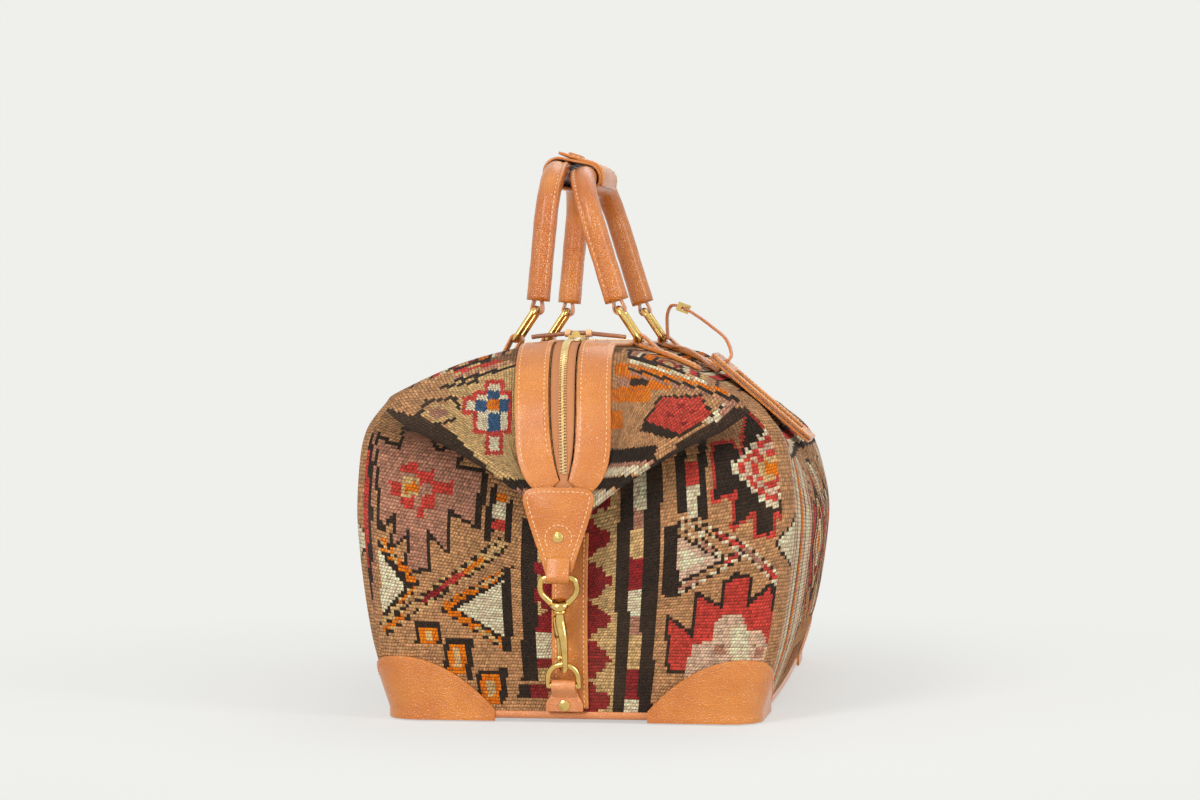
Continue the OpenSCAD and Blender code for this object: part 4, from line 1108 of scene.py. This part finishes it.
def clipEye(end, turn):
    h, low = snap["eyeHalf"], snap["eyeLow"]
    half = smooth([(0, 0, 0), (h - 5, 0, 0), (h - 1.2, 0, -1.4), (h, 0, -5), (h + 0.2, 0, -9),
                   (h - 1.4, 0, -13.5), (h - 5, 0, -17.6), (4.5, 0, -low)], 6)
    other = half[::-1] * np.array([-1, 1, 1])
    bow = np.concatenate([half, other[:-1]])
    wire = tube(bow, snap["wire"] + 0.5 * np.clip(-bow[:, 2] / low, 0, 1) ** 3, closed=True)
    collar = lathe([(3.6, -low - 3.4), (5.4, -low - 3), (6.7, -low - 1.6), (7.3, -low + 0.6),
                    (6.6, -low + 2.2), (4.6, -low + 3.4), (3.2, -low + 3.6)], (0, 0, 0))
    verts, faces = together([wire, collar])
    solid("clip_eye_%s_brass" % end, onClip(verts, False, turn), faces, brass, "bag", "brass",
          ("clip_eye_" + end,))


def clipHook(end, turn):
    low, top, r, mid = snap["eyeLow"], snap["barrelTop"], snap["hookR"], snap["hookMid"]
    a = np.radians(np.linspace(180, 360, 17))
    bend = [(0, r * math.cos(t), -mid + r * math.sin(t)) for t in a]
    stem = smooth([(0, 0, -low - 4), (0, 0, -low - 8), (0, -0.6, -top - 1), (0, -4.4, -top - 9),
                   (0, -r, -top - 18), (0, -r, -mid + 5), bend[0]], 7)
    path = np.concatenate([stem[:-1], bend, [(0, r, -mid + snap["hookTip"])]])
    run = np.linspace(0, 1, len(path))
    thick = np.interp(run, [0, 0.1, 0.25, 0.45, 0.56, 0.7, 1], [2.6, 3.2, 3.9, 2.9, 2.5, 2.1, 2.1])
    parts = [tube(path, thick),
             lathe([(2.4, -low - 6.4), (4.4, -low - 6), (5, -low - 4.8), (4.6, -low - 3.4),
                    (2.4, -low - 3.2)], (0, 0, 0)),
             lathe([(2.0, -top - 15), (3.3, -top - 14.6), (3.3, -top + 0.4), (2.2, -top + 1.4)], (0, r, 0)),
             tube(smooth([(0, 0, -top + 2), (0, 2.4, -top + 0.8), (0, r, -top - 3)], 5), 2.7)]
    verts, faces = together(parts)
    solid("clip_hook_%s_brass" % end, onClip(verts, True, turn), faces, brass, "snap_" + end, "brass",
          ("clip_hook_" + end,))


bothEnds(clipEye)
bothEnds(clipHook)

chape = dict(wide=22.0, long=50.0, pivotW=96.0, pivotZ=276.5, shift=16.0, pivotY=85.0, loopMid=3.95,
             loopW=16.6, high=3.7)


def handleChape(name, s, e):
    x = -chape["shift"] + s * chape["pivotW"] / 2
    y = e * chape["pivotY"]
    perV = 2 / (bag["earW"] / 2 - bandX)
    first = (abs(x + 8) - 3 - bandX) * perV + 1
    v = first + np.linspace(0.05, 1, 26) * chape["long"] * perV
    t = np.linspace(0, 1, 26)
    k = np.linspace(-1, 1, 7)
    vv, kk = np.meshgrid(v, k, indexing="ij")
    round_ = np.where(t > 0.86, np.sqrt(np.maximum(0, 1 - ((t - 0.86) / 0.15) ** 2)), 1)
    ii = s * roofI(y + kk * chape["wide"] / 2 * (0.45 + 0.55 * round_[:, None]), vv)
    slabOnSkin(name + "_leather", ii, vv, trim["low"], chape["high"], tan, (name,), 0.7)
    for side in (-1, 1):
        part = slice(6, 24)
        i = s * roofI(y + side * (chape["wide"] / 2 - 3), v[part])
        sewOnSkin(i, v[part], chape["high"], "creamThread", 3.6)
    cross = np.linspace(-1, 1, 9) * (chape["wide"] / 2 - 3.5)
    for at in (6, 22):
        vRow = np.full(9, v[at])
        sewOnSkin(s * roofI(y + cross, vRow), vRow, chape["high"], "creamThread", 3.6)
    mid = s * roofI(np.full(26, y), v)
    lowTail = raised(mid[4:5], v[4:5], np.array([1.6]))[0]
    topTail = raised(mid[8:9], v[8:9], np.array([3.3]))[0]
    path2 = loopRound(np.array([x, chape["pivotZ"]]), chape["loopMid"],
                      [(lowTail[0], lowTail[2]), (topTail[0], topTail[2])], s < 0)
    foldedLoop(name + "_loop", lambda a, b: np.array([a, y, b]), path2, chape["loopW"], 2.0, tan, "bag",
               (name,))


for chapeName, sx, ey in (("chape_near_right", 1, -1), ("chape_near_left", -1, -1), ("chape_far_right", 1, 1),
                          ("chape_far_left", -1, 1)):
    handleChape(chapeName, sx, ey)
print("leather trim made")


# zip
def zipLine(i):
    mid = (skin(i, np.zeros(i.shape)) + skin(-i, np.zeros(i.shape))) / 2
    e = 0.02
    nextMid = (skin(i + e, np.zeros(i.shape)) + skin(-i - e, np.zeros(i.shape))) / 2
    lastMid = (skin(i - e, np.zeros(i.shape)) + skin(-i + e, np.zeros(i.shape))) / 2
    ahead = unit(nextMid - lastMid)
    out = unit(np.cross(np.array([1.0, 0, 0]), ahead))
    half = 0.92 * (skin(i, np.zeros(i.shape))[:, 0] - mid[:, 0])
    return mid, ahead, out, half


def zipTape():
    i = spread(0.4, 33.6, 2.5, lambda t: skin(t, np.zeros(t.shape)))
    mid, ahead, out, half = zipLine(i)
    below = np.array([[6.0], [4.0], [2.0]])  # on down behind each tab
    mid = np.concatenate([mid[0] - below * ahead[0], mid, mid[-1] + below[::-1] * ahead[-1]])
    out = np.concatenate([out[:1]] * 3 + [out] + [out[-1:]] * 3)
    half = np.concatenate([[7.5, 7.5, 7.0], half, [7.0, 7.5, 7.5]])
    k = np.linspace(-1, 1, 7)
    wide = np.minimum(8.9, half)[:, None] * k
    right = np.array([1.0, 0, 0])
    flat = mid[:, None] + wide[..., None] * right
    verts, faces = closeSheet(flat + 1.2 * out[:, None], flat + trim["low"] * out[:, None])
    solid("zip_tape_cloth", verts, outwards(verts, faces, verts.mean(0)), tape, "bag", "tape", ("zip_tape",))


zipTape()


# Geometry Nodes: one small shape on every point, turned by the point's own two directions
def repeatTree(name, sizes, build, mat):
    tree = bpy.data.node_groups.new(name, "GeometryNodeTree")
    tree.interface.new_socket("Geometry", in_out="INPUT", socket_type="NodeSocketGeometry")
    for label, value in sizes.items():
        socket = tree.interface.new_socket(label, in_out="INPUT", socket_type="NodeSocketFloat")
        socket.default_value = value
    tree.interface.new_socket("Geometry", in_out="OUTPUT", socket_type="NodeSocketGeometry")
    n, link = tree.nodes, tree.links.new
    start, end = n.new("NodeGroupInput"), n.new("NodeGroupOutput")
    turn = n.new("FunctionNodeAxesToRotation")
    turn.primary_axis, turn.secondary_axis = "Z", "X"
    for attribute, socket in (("out", turn.inputs[0]), ("ahead", turn.inputs[1])):
        read = n.new("GeometryNodeInputNamedAttribute")
        read.data_type = "FLOAT_VECTOR"
        read.inputs["Name"].default_value = attribute
        link(read.outputs[0], socket)
    shape = build(n, link, start)
    onPoints = n.new("GeometryNodeInstanceOnPoints")
    link(start.outputs["Geometry"], onPoints.inputs["Points"])
    link(shape, onPoints.inputs["Instance"])
    link(turn.outputs[0], onPoints.inputs["Rotation"])
    real = n.new("GeometryNodeRealizeInstances")
    paint = n.new("GeometryNodeSetMaterial")
    paint.inputs["Material"].default_value = mat
    link(onPoints.outputs[0], real.inputs[0])
    link(real.outputs[0], paint.inputs[0])
    link(paint.outputs[0], end.inputs[0])
    return tree


def sizeVector(n, link, start, labels):
    join = n.new("ShaderNodeCombineXYZ")
    for k, label in enumerate(labels):
        link(start.outputs[label], join.inputs[k])
    return join.outputs[0]


def smallShape(kind, inputs, rotation, soft):
    def build(n, link, start):
        first = n.new(kind)
        for label, value in inputs.items():
            first.inputs[label].default_value = value
        turn, scale = n.new("GeometryNodeTransform"), n.new("GeometryNodeTransform")
        turn.inputs["Rotation"].default_value = rotation
        link(first.outputs[0], turn.inputs[0])
        link(turn.outputs[0], scale.inputs[0])
        link(sizeVector(n, link, start, ("Length", "Width", "Height")), scale.inputs["Scale"])
        if not soft:
            return scale.outputs[0]
        shade = n.new("GeometryNodeSetShadeSmooth")
        link(scale.outputs[0], shade.inputs[0])
        return shade.outputs[0]

    return build


stitchShape = smallShape("GeometryNodeMeshUVSphere", {"Segments": 6, "Rings": 5, "Radius": 0.5},
                         (0, math.pi / 2, 0), True)
toothShape = smallShape("GeometryNodeMeshCylinder", {"Vertices": 8, "Radius": 0.5, "Depth": 1.0},
                        (math.pi / 2, 0, 0), False)


def runTree(name, tree, sizes, rows, body, slot, nodes=()):
    at, ahead, out = (np.concatenate([r[k] for r in rows]) for k in range(3))
    mesh = bpy.data.meshes.new(name)
    mesh.from_pydata((at / 1000).tolist(), [], [])
    for label, data in (("ahead", ahead), ("out", out)):
        layer = mesh.attributes.new(label, "FLOAT_VECTOR", "POINT")
        layer.data.foreach_set("vector", data.astype(np.float32).ravel())
    obj = bpy.data.objects.new(name, mesh)
    bpy.context.collection.objects.link(obj)
    mod = obj.modifiers.new("repeat", "NODES")
    mod.node_group = tree
    for item in tree.interface.items_tree:
        if item.name in sizes and item.in_out == "INPUT":
            mod[item.identifier] = sizes[item.name]
    deps = bpy.context.evaluated_depsgraph_get()
    made = bpy.data.meshes.new_from_object(obj.evaluated_get(deps))
    obj.modifiers.clear()
    obj.data = made
    ridePiece(obj, body, slot, nodes)


teeth = dict(pitch=2.2, long=3.4, wide=1.2, high=1.8)


def zipTeeth():
    sizes = {"Length": teeth["wide"] / 1000, "Width": teeth["long"] / 1000, "Height": teeth["high"] / 1000}
    tree = repeatTree("zipToothRow", sizes, toothShape, pale)
    i = spread(0.7, 33.3, teeth["pitch"] / 2, lambda t: skin(t, np.zeros(t.shape)))
    mid, ahead, out = zipLine(i)[:3]
    side = np.where(np.arange(len(i)) % 2 == 0, 0.9, -0.9)[:, None] * np.array([1.0, 0, 0])
    rows = [(mid + 2.1 * out + side, ahead, out)]
    runTree("zip_teeth_row", tree, sizes, rows, "bag", "brass", ("zip_teeth",))


zipTeeth()
lace = dict(r=1.7, whipR=0.55)


def pullLace(name, y, s, body):
    base = np.array([-8.0, y, 275.25])
    parts = []
    a = np.linspace(0, 2 * np.pi, 10, endpoint=False)
    section = lace["r"] * np.column_stack([np.cos(a), np.sin(a)])
    for k in (-1, 1):
        pts = smooth([(s * -1.5, k * 0.6, 6.6), (s * 4.5, k * 1.4, 6.6), (s * 9, k * 1.7, 6.3),
                      (s * 20, k * 1.8, 5.2), (s * 31, k * 2.0, 4.2), (s * 37, k * 2.4, 3.4)], 6) + base
        ahead = unit(np.gradient(pts, axis=0))
        across = unit(np.cross(ahead, np.array([0, 0, 1.0])))
        parts.append(sweep(pts, across, np.cross(ahead, across), section))
    turns = np.linspace(0, 2 * np.pi * 5, 90)
    coil = np.column_stack([s * (7.4 + 4.0 * turns / turns[-1]), 3.9 * np.cos(turns),
                            6.3 + 2.4 * np.sin(turns)]) + base
    ahead = unit(np.gradient(coil, axis=0))
    across = unit(np.cross(ahead, np.array([1.0, 0, 0])))
    thin = section / lace["r"] * lace["whipR"]
    parts.append(sweep(coil, across, np.cross(ahead, across), thin))
    whip = np.repeat((0, 0, 1), [len(f) for v, f in parts])
    verts, faces = together(parts)
    solid(name + "_lace", verts, faces, dark, body, "leather", (name,), mats=[cream], faceMat=whip)


pullLace("pull_near", -152.0, 1, "zip_near")
pullLace("pull_far", -132.0, -1, "zip_far")
print("zip made")

# handles, in each handle's own leaning plane
grip = dict(shift=16.0, upperW=64.0, upperZ=300.447, lean={1: 17.2353, -1: -5.31277}, rollR=9.0,
            edge=2.4, foot=6.25, high=108.0, bend=40.0, span=85.0, loopMid=4.15, loopW=13.0, loopT=1.5,
            tails=((-1.3, 14.0), (1.3, 14.0)))


def handlePlace(s):
    t = math.radians(-grip["lean"][s])
    turn = np.array([[math.cos(t), 0, math.sin(t)], [0, 1, 0], [-math.sin(t), 0, math.cos(t)]])
    base = np.array([-grip["shift"] + s * grip["upperW"] / 2, 0, grip["upperZ"]])
    return lambda p: np.asarray(p) @ turn.T + base, turn


def handleLine():
    y, h, r = grip["span"], grip["high"], grip["bend"]
    a = np.radians(np.linspace(180, 90, 19))
    left = np.column_stack([-(y - r) + r * np.cos(a), h - r + r * np.sin(a)])
    right = left[::-1] * np.array([-1, 1])
    line = np.concatenate([[(-y, grip["foot"])], left, right, [(y, grip["foot"])]])
    flat = np.column_stack([np.zeros(len(line)), line])
    return evenly(flat, 4.0)


def handle(name, s):
    place, turn = handlePlace(s)
    line = handleLine()
    ahead = unit(np.gradient(line, axis=0))
    side = np.broadcast_to(np.array([-s * 1.0, 0, 0]), line.shape)
    bow = np.cross(ahead, np.array([1.0, 0, 0]))  # out of the bow
    bow = bow * np.sign(bow[len(bow) // 2, 2])
    fin, flank = (side + bow) * 0.7071, (bow - side) * 0.7071
    r, edge = grip["rollR"], grip["edge"]
    a = np.radians(np.linspace(12, 348, 41))
    section = [(r * math.cos(t), r * math.sin(t)) for t in a]
    section += [(r + edge - 0.5, -1.5), (r + edge, -0.8), (r + edge, 0.8), (r + edge - 0.5, 1.5)]
    section = np.array(section)
    verts, faces = sweep(line, fin, flank, section)
    run = np.concatenate([[0], np.cumsum(np.linalg.norm(np.diff(line, axis=0), axis=1))])
    round_ = np.concatenate([np.arange(41) * 1.36, 56 + np.arange(4) * 1.0])
    uv = np.stack(np.broadcast_arrays(round_[None, :], run[:, None]), -1).reshape(-1, 2)
    uv = np.concatenate([uv, [[0, 0], [0, run[-1]]]])
    swell = 1 + 0.012 * np.sin(run / 7.3) + 0.01 * np.sin(run / 3.1 + 1)
    core = np.repeat(line, len(section), 0)
    verts[:len(core)] = core + (verts[:len(core)] - core) * np.repeat(swell, len(section))[:, None]
    solid(name + "_leather", place(verts), faces, rolled, "handle_pair", "leather", (name,), 0.0, uv=uv)
    for k in (-1, 1):
        seam = line[3:-3] + fin[3:-3] * (r + edge * 0.3) + flank[3:-3] * k * 1.7
        sew("handle_pair", "creamThread", place(seam), (flank[3:-3] * k) @ turn.T, 4.2)
    for e in (-1, 1):
        path2 = loopRound(np.array([0.0, 0.0]), grip["loopMid"], grip["tails"], True)
        foldedLoop("handle_loop_%s_%s" % (name[7:], "far" if e > 0 else "near"),
                   lambda a, b, e=e: place(np.array([a, e * grip["span"], b])), path2, grip["loopW"],
                   grip["loopT"], rose, "handle_pair", ("handle_loops",))


handle("handle_right", 1)
handle("handle_left", -1)

wrap = dict(x=-27.0, z=405.79, gap=22.4329, r=11.1, thick=2.3, long=88.0, tilt=11.274)


def keeperPlace(x, y, z):
    t = math.radians(wrap["tilt"])
    return np.stack([wrap["x"] + x * math.cos(t) + z * math.sin(t), y + 0 * x,
                     wrap["z"] - x * math.sin(t) + z * math.cos(t)], -1)


def keeper():
    g, r = wrap["gap"] / 2, wrap["r"]
    a = np.radians(np.linspace(90, 270, 25))
    left = np.column_stack([-g + r * np.cos(a), r * np.sin(a)])
    ring = np.concatenate([left, -left])
    path = keeperPlace(ring[:, 0], 0.0, ring[:, 1])
    ahead = unit(np.roll(path, -1, 0) - np.roll(path, 1, 0))
    across = np.broadcast_to(np.array([0, 1.0, 0]), path.shape)
    up = np.cross(ahead, across)
    if np.dot(up[12], path[12] - np.array([wrap["x"], 0, wrap["z"]])) < 0:
        up = -up
    section = stripSection(wrap["long"], wrap["thick"], 0.7)
    verts, faces = sweep(path, across, up, section, True)
    inner = [1 if all(section[q % len(section)][1] < -0.3 for q in f) else 0 for f in faces]
    solid("keeper_leather", verts, faces, tan, "handle_pair", "leather", ("keeper",), mats=[dark],
          faceMat=inner)
    lap = smooth([(g + 12.9, -4, 0), (g + 11.6, 6.6, 0), (g + 5, 12, 0), (g - 6, 13.2, 0), (g - 17, 14.3, 0),
                  (g - 25, 15.2, 0)], 6)
    flap = keeperPlace(lap[:, 0], 0.0, lap[:, 1])
    ahead = unit(np.gradient(flap, axis=0))
    across = np.broadcast_to(np.array([0, 1.0, 0]), flap.shape)
    up = np.cross(across, ahead)
    up = up * np.sign(up[-1, 2])
    verts, faces = sweep(flap, across, up, stripSection(wrap["long"] - 3, wrap["thick"], 0.7))
    solid("keeper_flap", verts, faces, tan, "handle_pair", "leather", ("keeper",))
    for y in (-1, 1):
        row = flap[1:-1] + np.array([0, y * (wrap["long"] / 2 - 4.5), 0]) + up[1:-1] * wrap["thick"] / 2
        sew("handle_pair", "creamThread", row, up[1:-1], 3.8)
    end = flap[-3] + up[-3] * wrap["thick"] / 2
    row = np.array([end + np.array([0, y, 0]) for y in np.linspace(-40, 40, 20)])
    sew("handle_pair", "creamThread", row, np.broadcast_to(up[-3], row.shape), 3.8)


keeper()
print("handles made")


# tag of two leathers with a clear window between them
def tagPlace(p):
    p = np.asarray(p, float)
    local = p - np.array([tagFrame["long"] / 2, tagFrame["wide"] / 2, 0])
    return tagAt + local[:, :1] * tagDown + local[:, 1:2] * tagSide + local[:, 2:] * tagOut


def roundBox(x0, x1, y0, y1, r, count=7):
    pts = []
    for cx, cy, start in ((x1 - r, y1 - r, 0), (x0 + r, y1 - r, 90), (x0 + r, y0 + r, 180),
                          (x1 - r, y0 + r, 270)):
        for a in np.radians(np.linspace(start, start + 90, count)):
            pts.append((cx + r * math.cos(a), cy + r * math.sin(a)))
    return np.array(pts)


def luggageTag():
    long, wide = tagFrame["long"], tagFrame["wide"]
    slotHole = roundBox(9, 14.4, wide / 2 - 5.6, wide / 2 + 5.6, 1.2, 4)[::-1]
    window = roundBox(22, long - 12, 12, wide - 12, 4, 5)[::-1]
    for name, low, thick, inset, holes, mat, slot in (
            ("tag_back", 0.0, 2.1, 0.0, (slotHole,), tan, "leather"),
            ("tag_window", 2.2, 0.8, 3.0, (slotHole,), clear, "window"),
            ("tag_front", 3.1, 2.1, 0.0, (slotHole, window), tan, "leather")):
        verts, faces = plate(roundBox(inset, long - inset, inset, wide - inset, 8), holes)
        verts[:, 2] = low + thick * verts[:, 2]
        bevel = 0.5 if slot == "leather" else 0.0
        solid(name + "_sheet", tagPlace(verts), faces, mat, "bag", slot, (name,), bevel)
    for outline in (roundBox(3, long - 3, 3, wide - 3, 6), roundBox(19, long - 9, 9, wide - 9, 5)):
        ring = np.column_stack([outline, np.full(len(outline), 5.2)])
        ring = np.concatenate([ring, ring[:1]])
        sew("bag", "creamThread", tagPlace(ring), np.broadcast_to(tagOut, ring.shape), 3.6)


luggageTag()
print("tag made")

stitch = {"Length": 0.0024, "Width": 0.0009, "Height": 0.0008}


def sewAll():
    threads = dict(creamThread=cream, tanThread=tonal)
    trees = {k: repeatTree("stitch" + k, stitch, stitchShape, m) for k, m in threads.items()}
    for (body, thread), rows in seams.items():
        runTree("stitches_%s_%s" % (body, thread), trees[thread], stitch, rows, body, "leather")


sewAll()
print("seams sewn")

# finishes for the CAD pieces that stay
for nodes, finish in ((("base_panel", "keeper_stud"), tan),
                      (("base_feet", "slider_near", "slider_far", "tab_rivet_near", "tab_rivet_far",
                        "clip_bolt_near", "clip_bolt_far", "dee_ring_near", "dee_ring_far",
                        "dee_rivet_near", "dee_rivet_far", "rings_right", "rings_left",
                        "tag_buckle"), brass)):
    for node in nodes:
        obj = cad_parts[node]
        for k in range(len(obj.material_slots)):
            obj.material_slots[k].material = finish

# studio
studio = dict(back=(239, 239, 236), key=58.0, fill=40.0, rim=12.0, world=0.36)


def areaLamp(name, place, aim, size, tall, power):
    data = bpy.data.lights.new(name, "AREA")
    data.shape, data.size, data.size_y, data.energy = "RECTANGLE", size, tall, power
    lamp = bpy.data.objects.new(name, data)
    lamp.location = place
    lamp.rotation_euler = (Vector(aim) - Vector(place)).to_track_quat("-Z", "Y").to_euler()
    bpy.context.collection.objects.link(lamp)


def makeStudio():
    scene = bpy.context.scene
    scene.view_settings.view_transform = "Standard"
    world = bpy.data.worlds.new("studio")
    scene.world = world
    world.use_nodes = True
    tree = world.node_tree
    tree.nodes.clear()
    out, mixer = tree.nodes.new("ShaderNodeOutputWorld"), tree.nodes.new("ShaderNodeMixShader")
    soft, back = tree.nodes.new("ShaderNodeBackground"), tree.nodes.new("ShaderNodeBackground")
    path = tree.nodes.new("ShaderNodeLightPath")
    plain, seen = tree.nodes.new("ShaderNodeMath"), tree.nodes.new("ShaderNodeMath")
    tree.links.new(path.outputs["Is Camera Ray"], plain.inputs[0])
    tree.links.new(path.outputs["Is Glossy Ray"], plain.inputs[1])
    tree.links.new(plain.outputs[0], seen.inputs[0])
    tree.links.new(path.outputs["Is Transmission Ray"], seen.inputs[1])
    soft.inputs[0].default_value = (1, 1, 1, 1)
    way, level = tree.nodes.new("ShaderNodeTexCoord"), tree.nodes.new("ShaderNodeMapRange")
    parts = tree.nodes.new("ShaderNodeSeparateXYZ")
    tree.links.new(way.outputs["Generated"], parts.inputs[0])
    tree.links.new(parts.outputs[2], level.inputs[0])
    for k, value in enumerate((-0.2, 0.8, 0.3 * studio["world"], 1.8 * studio["world"])):
        level.inputs[k + 1].default_value = value
    tree.links.new(level.outputs[0], soft.inputs[1])
    back.inputs[0].default_value = dye(studio["back"])
    tree.links.new(seen.outputs[0], mixer.inputs[0])
    tree.links.new(soft.outputs[0], mixer.inputs[1])
    tree.links.new(back.outputs[0], mixer.inputs[2])
    tree.links.new(mixer.outputs[0], out.inputs[0])
    areaLamp("key", (-1.0, -2.5, 1.5), (0, 0, 0.15), 0.8, 2.2, studio["key"])
    areaLamp("fill", (2.5, -1.4, 0.9), (0, 0, 0.15), 0.8, 1.8, studio["fill"])
    areaLamp("rim", (0.4, 1.4, 1.9), (0, 0, 0.2), 1.4, 1.4, studio["rim"])
    n = 48
    ring = [(3 * math.cos(2 * math.pi * k / n), 3 * math.sin(2 * math.pi * k / n), 0) for k in range(n)]
    mesh = bpy.data.meshes.new("floor")
    mesh.from_pydata(ring, [], [list(range(n))])
    floor = bpy.data.objects.new("floor", mesh)
    bpy.context.collection.objects.link(floor)
    s = Shade("paleFloor")
    at = s.place()
    far = s.node("ShaderNodeVectorMath", {"operation": "LENGTH"}, {0: at}, 1)
    near = s.remap(far, 0.3, 0.7, 0.4, 0.0)
    glow = s.node("ShaderNodeEmission", {}, {0: dye(studio["back"]), 1: 1.0})
    s.set(Base_Color=dye((226, 226, 224)), Roughness=0.9)
    lit = Sock(s, s.skin.outputs[0])
    rays = s.tree.nodes.new("ShaderNodeLightPath")
    seen = Sock(s, rays.outputs["Is Camera Ray"]) + Sock(s, rays.outputs["Is Glossy Ray"])
    seen = seen + Sock(s, rays.outputs["Is Transmission Ray"])
    both = s.node("ShaderNodeMixShader", {}, {0: 1 - (1 - near) * seen, 1: glow, 2: lit})
    s.tree.links.new(both.socket, s.out.inputs[0])
    mesh.materials.append(s.mat)


makeStudio()
print("studio lit")
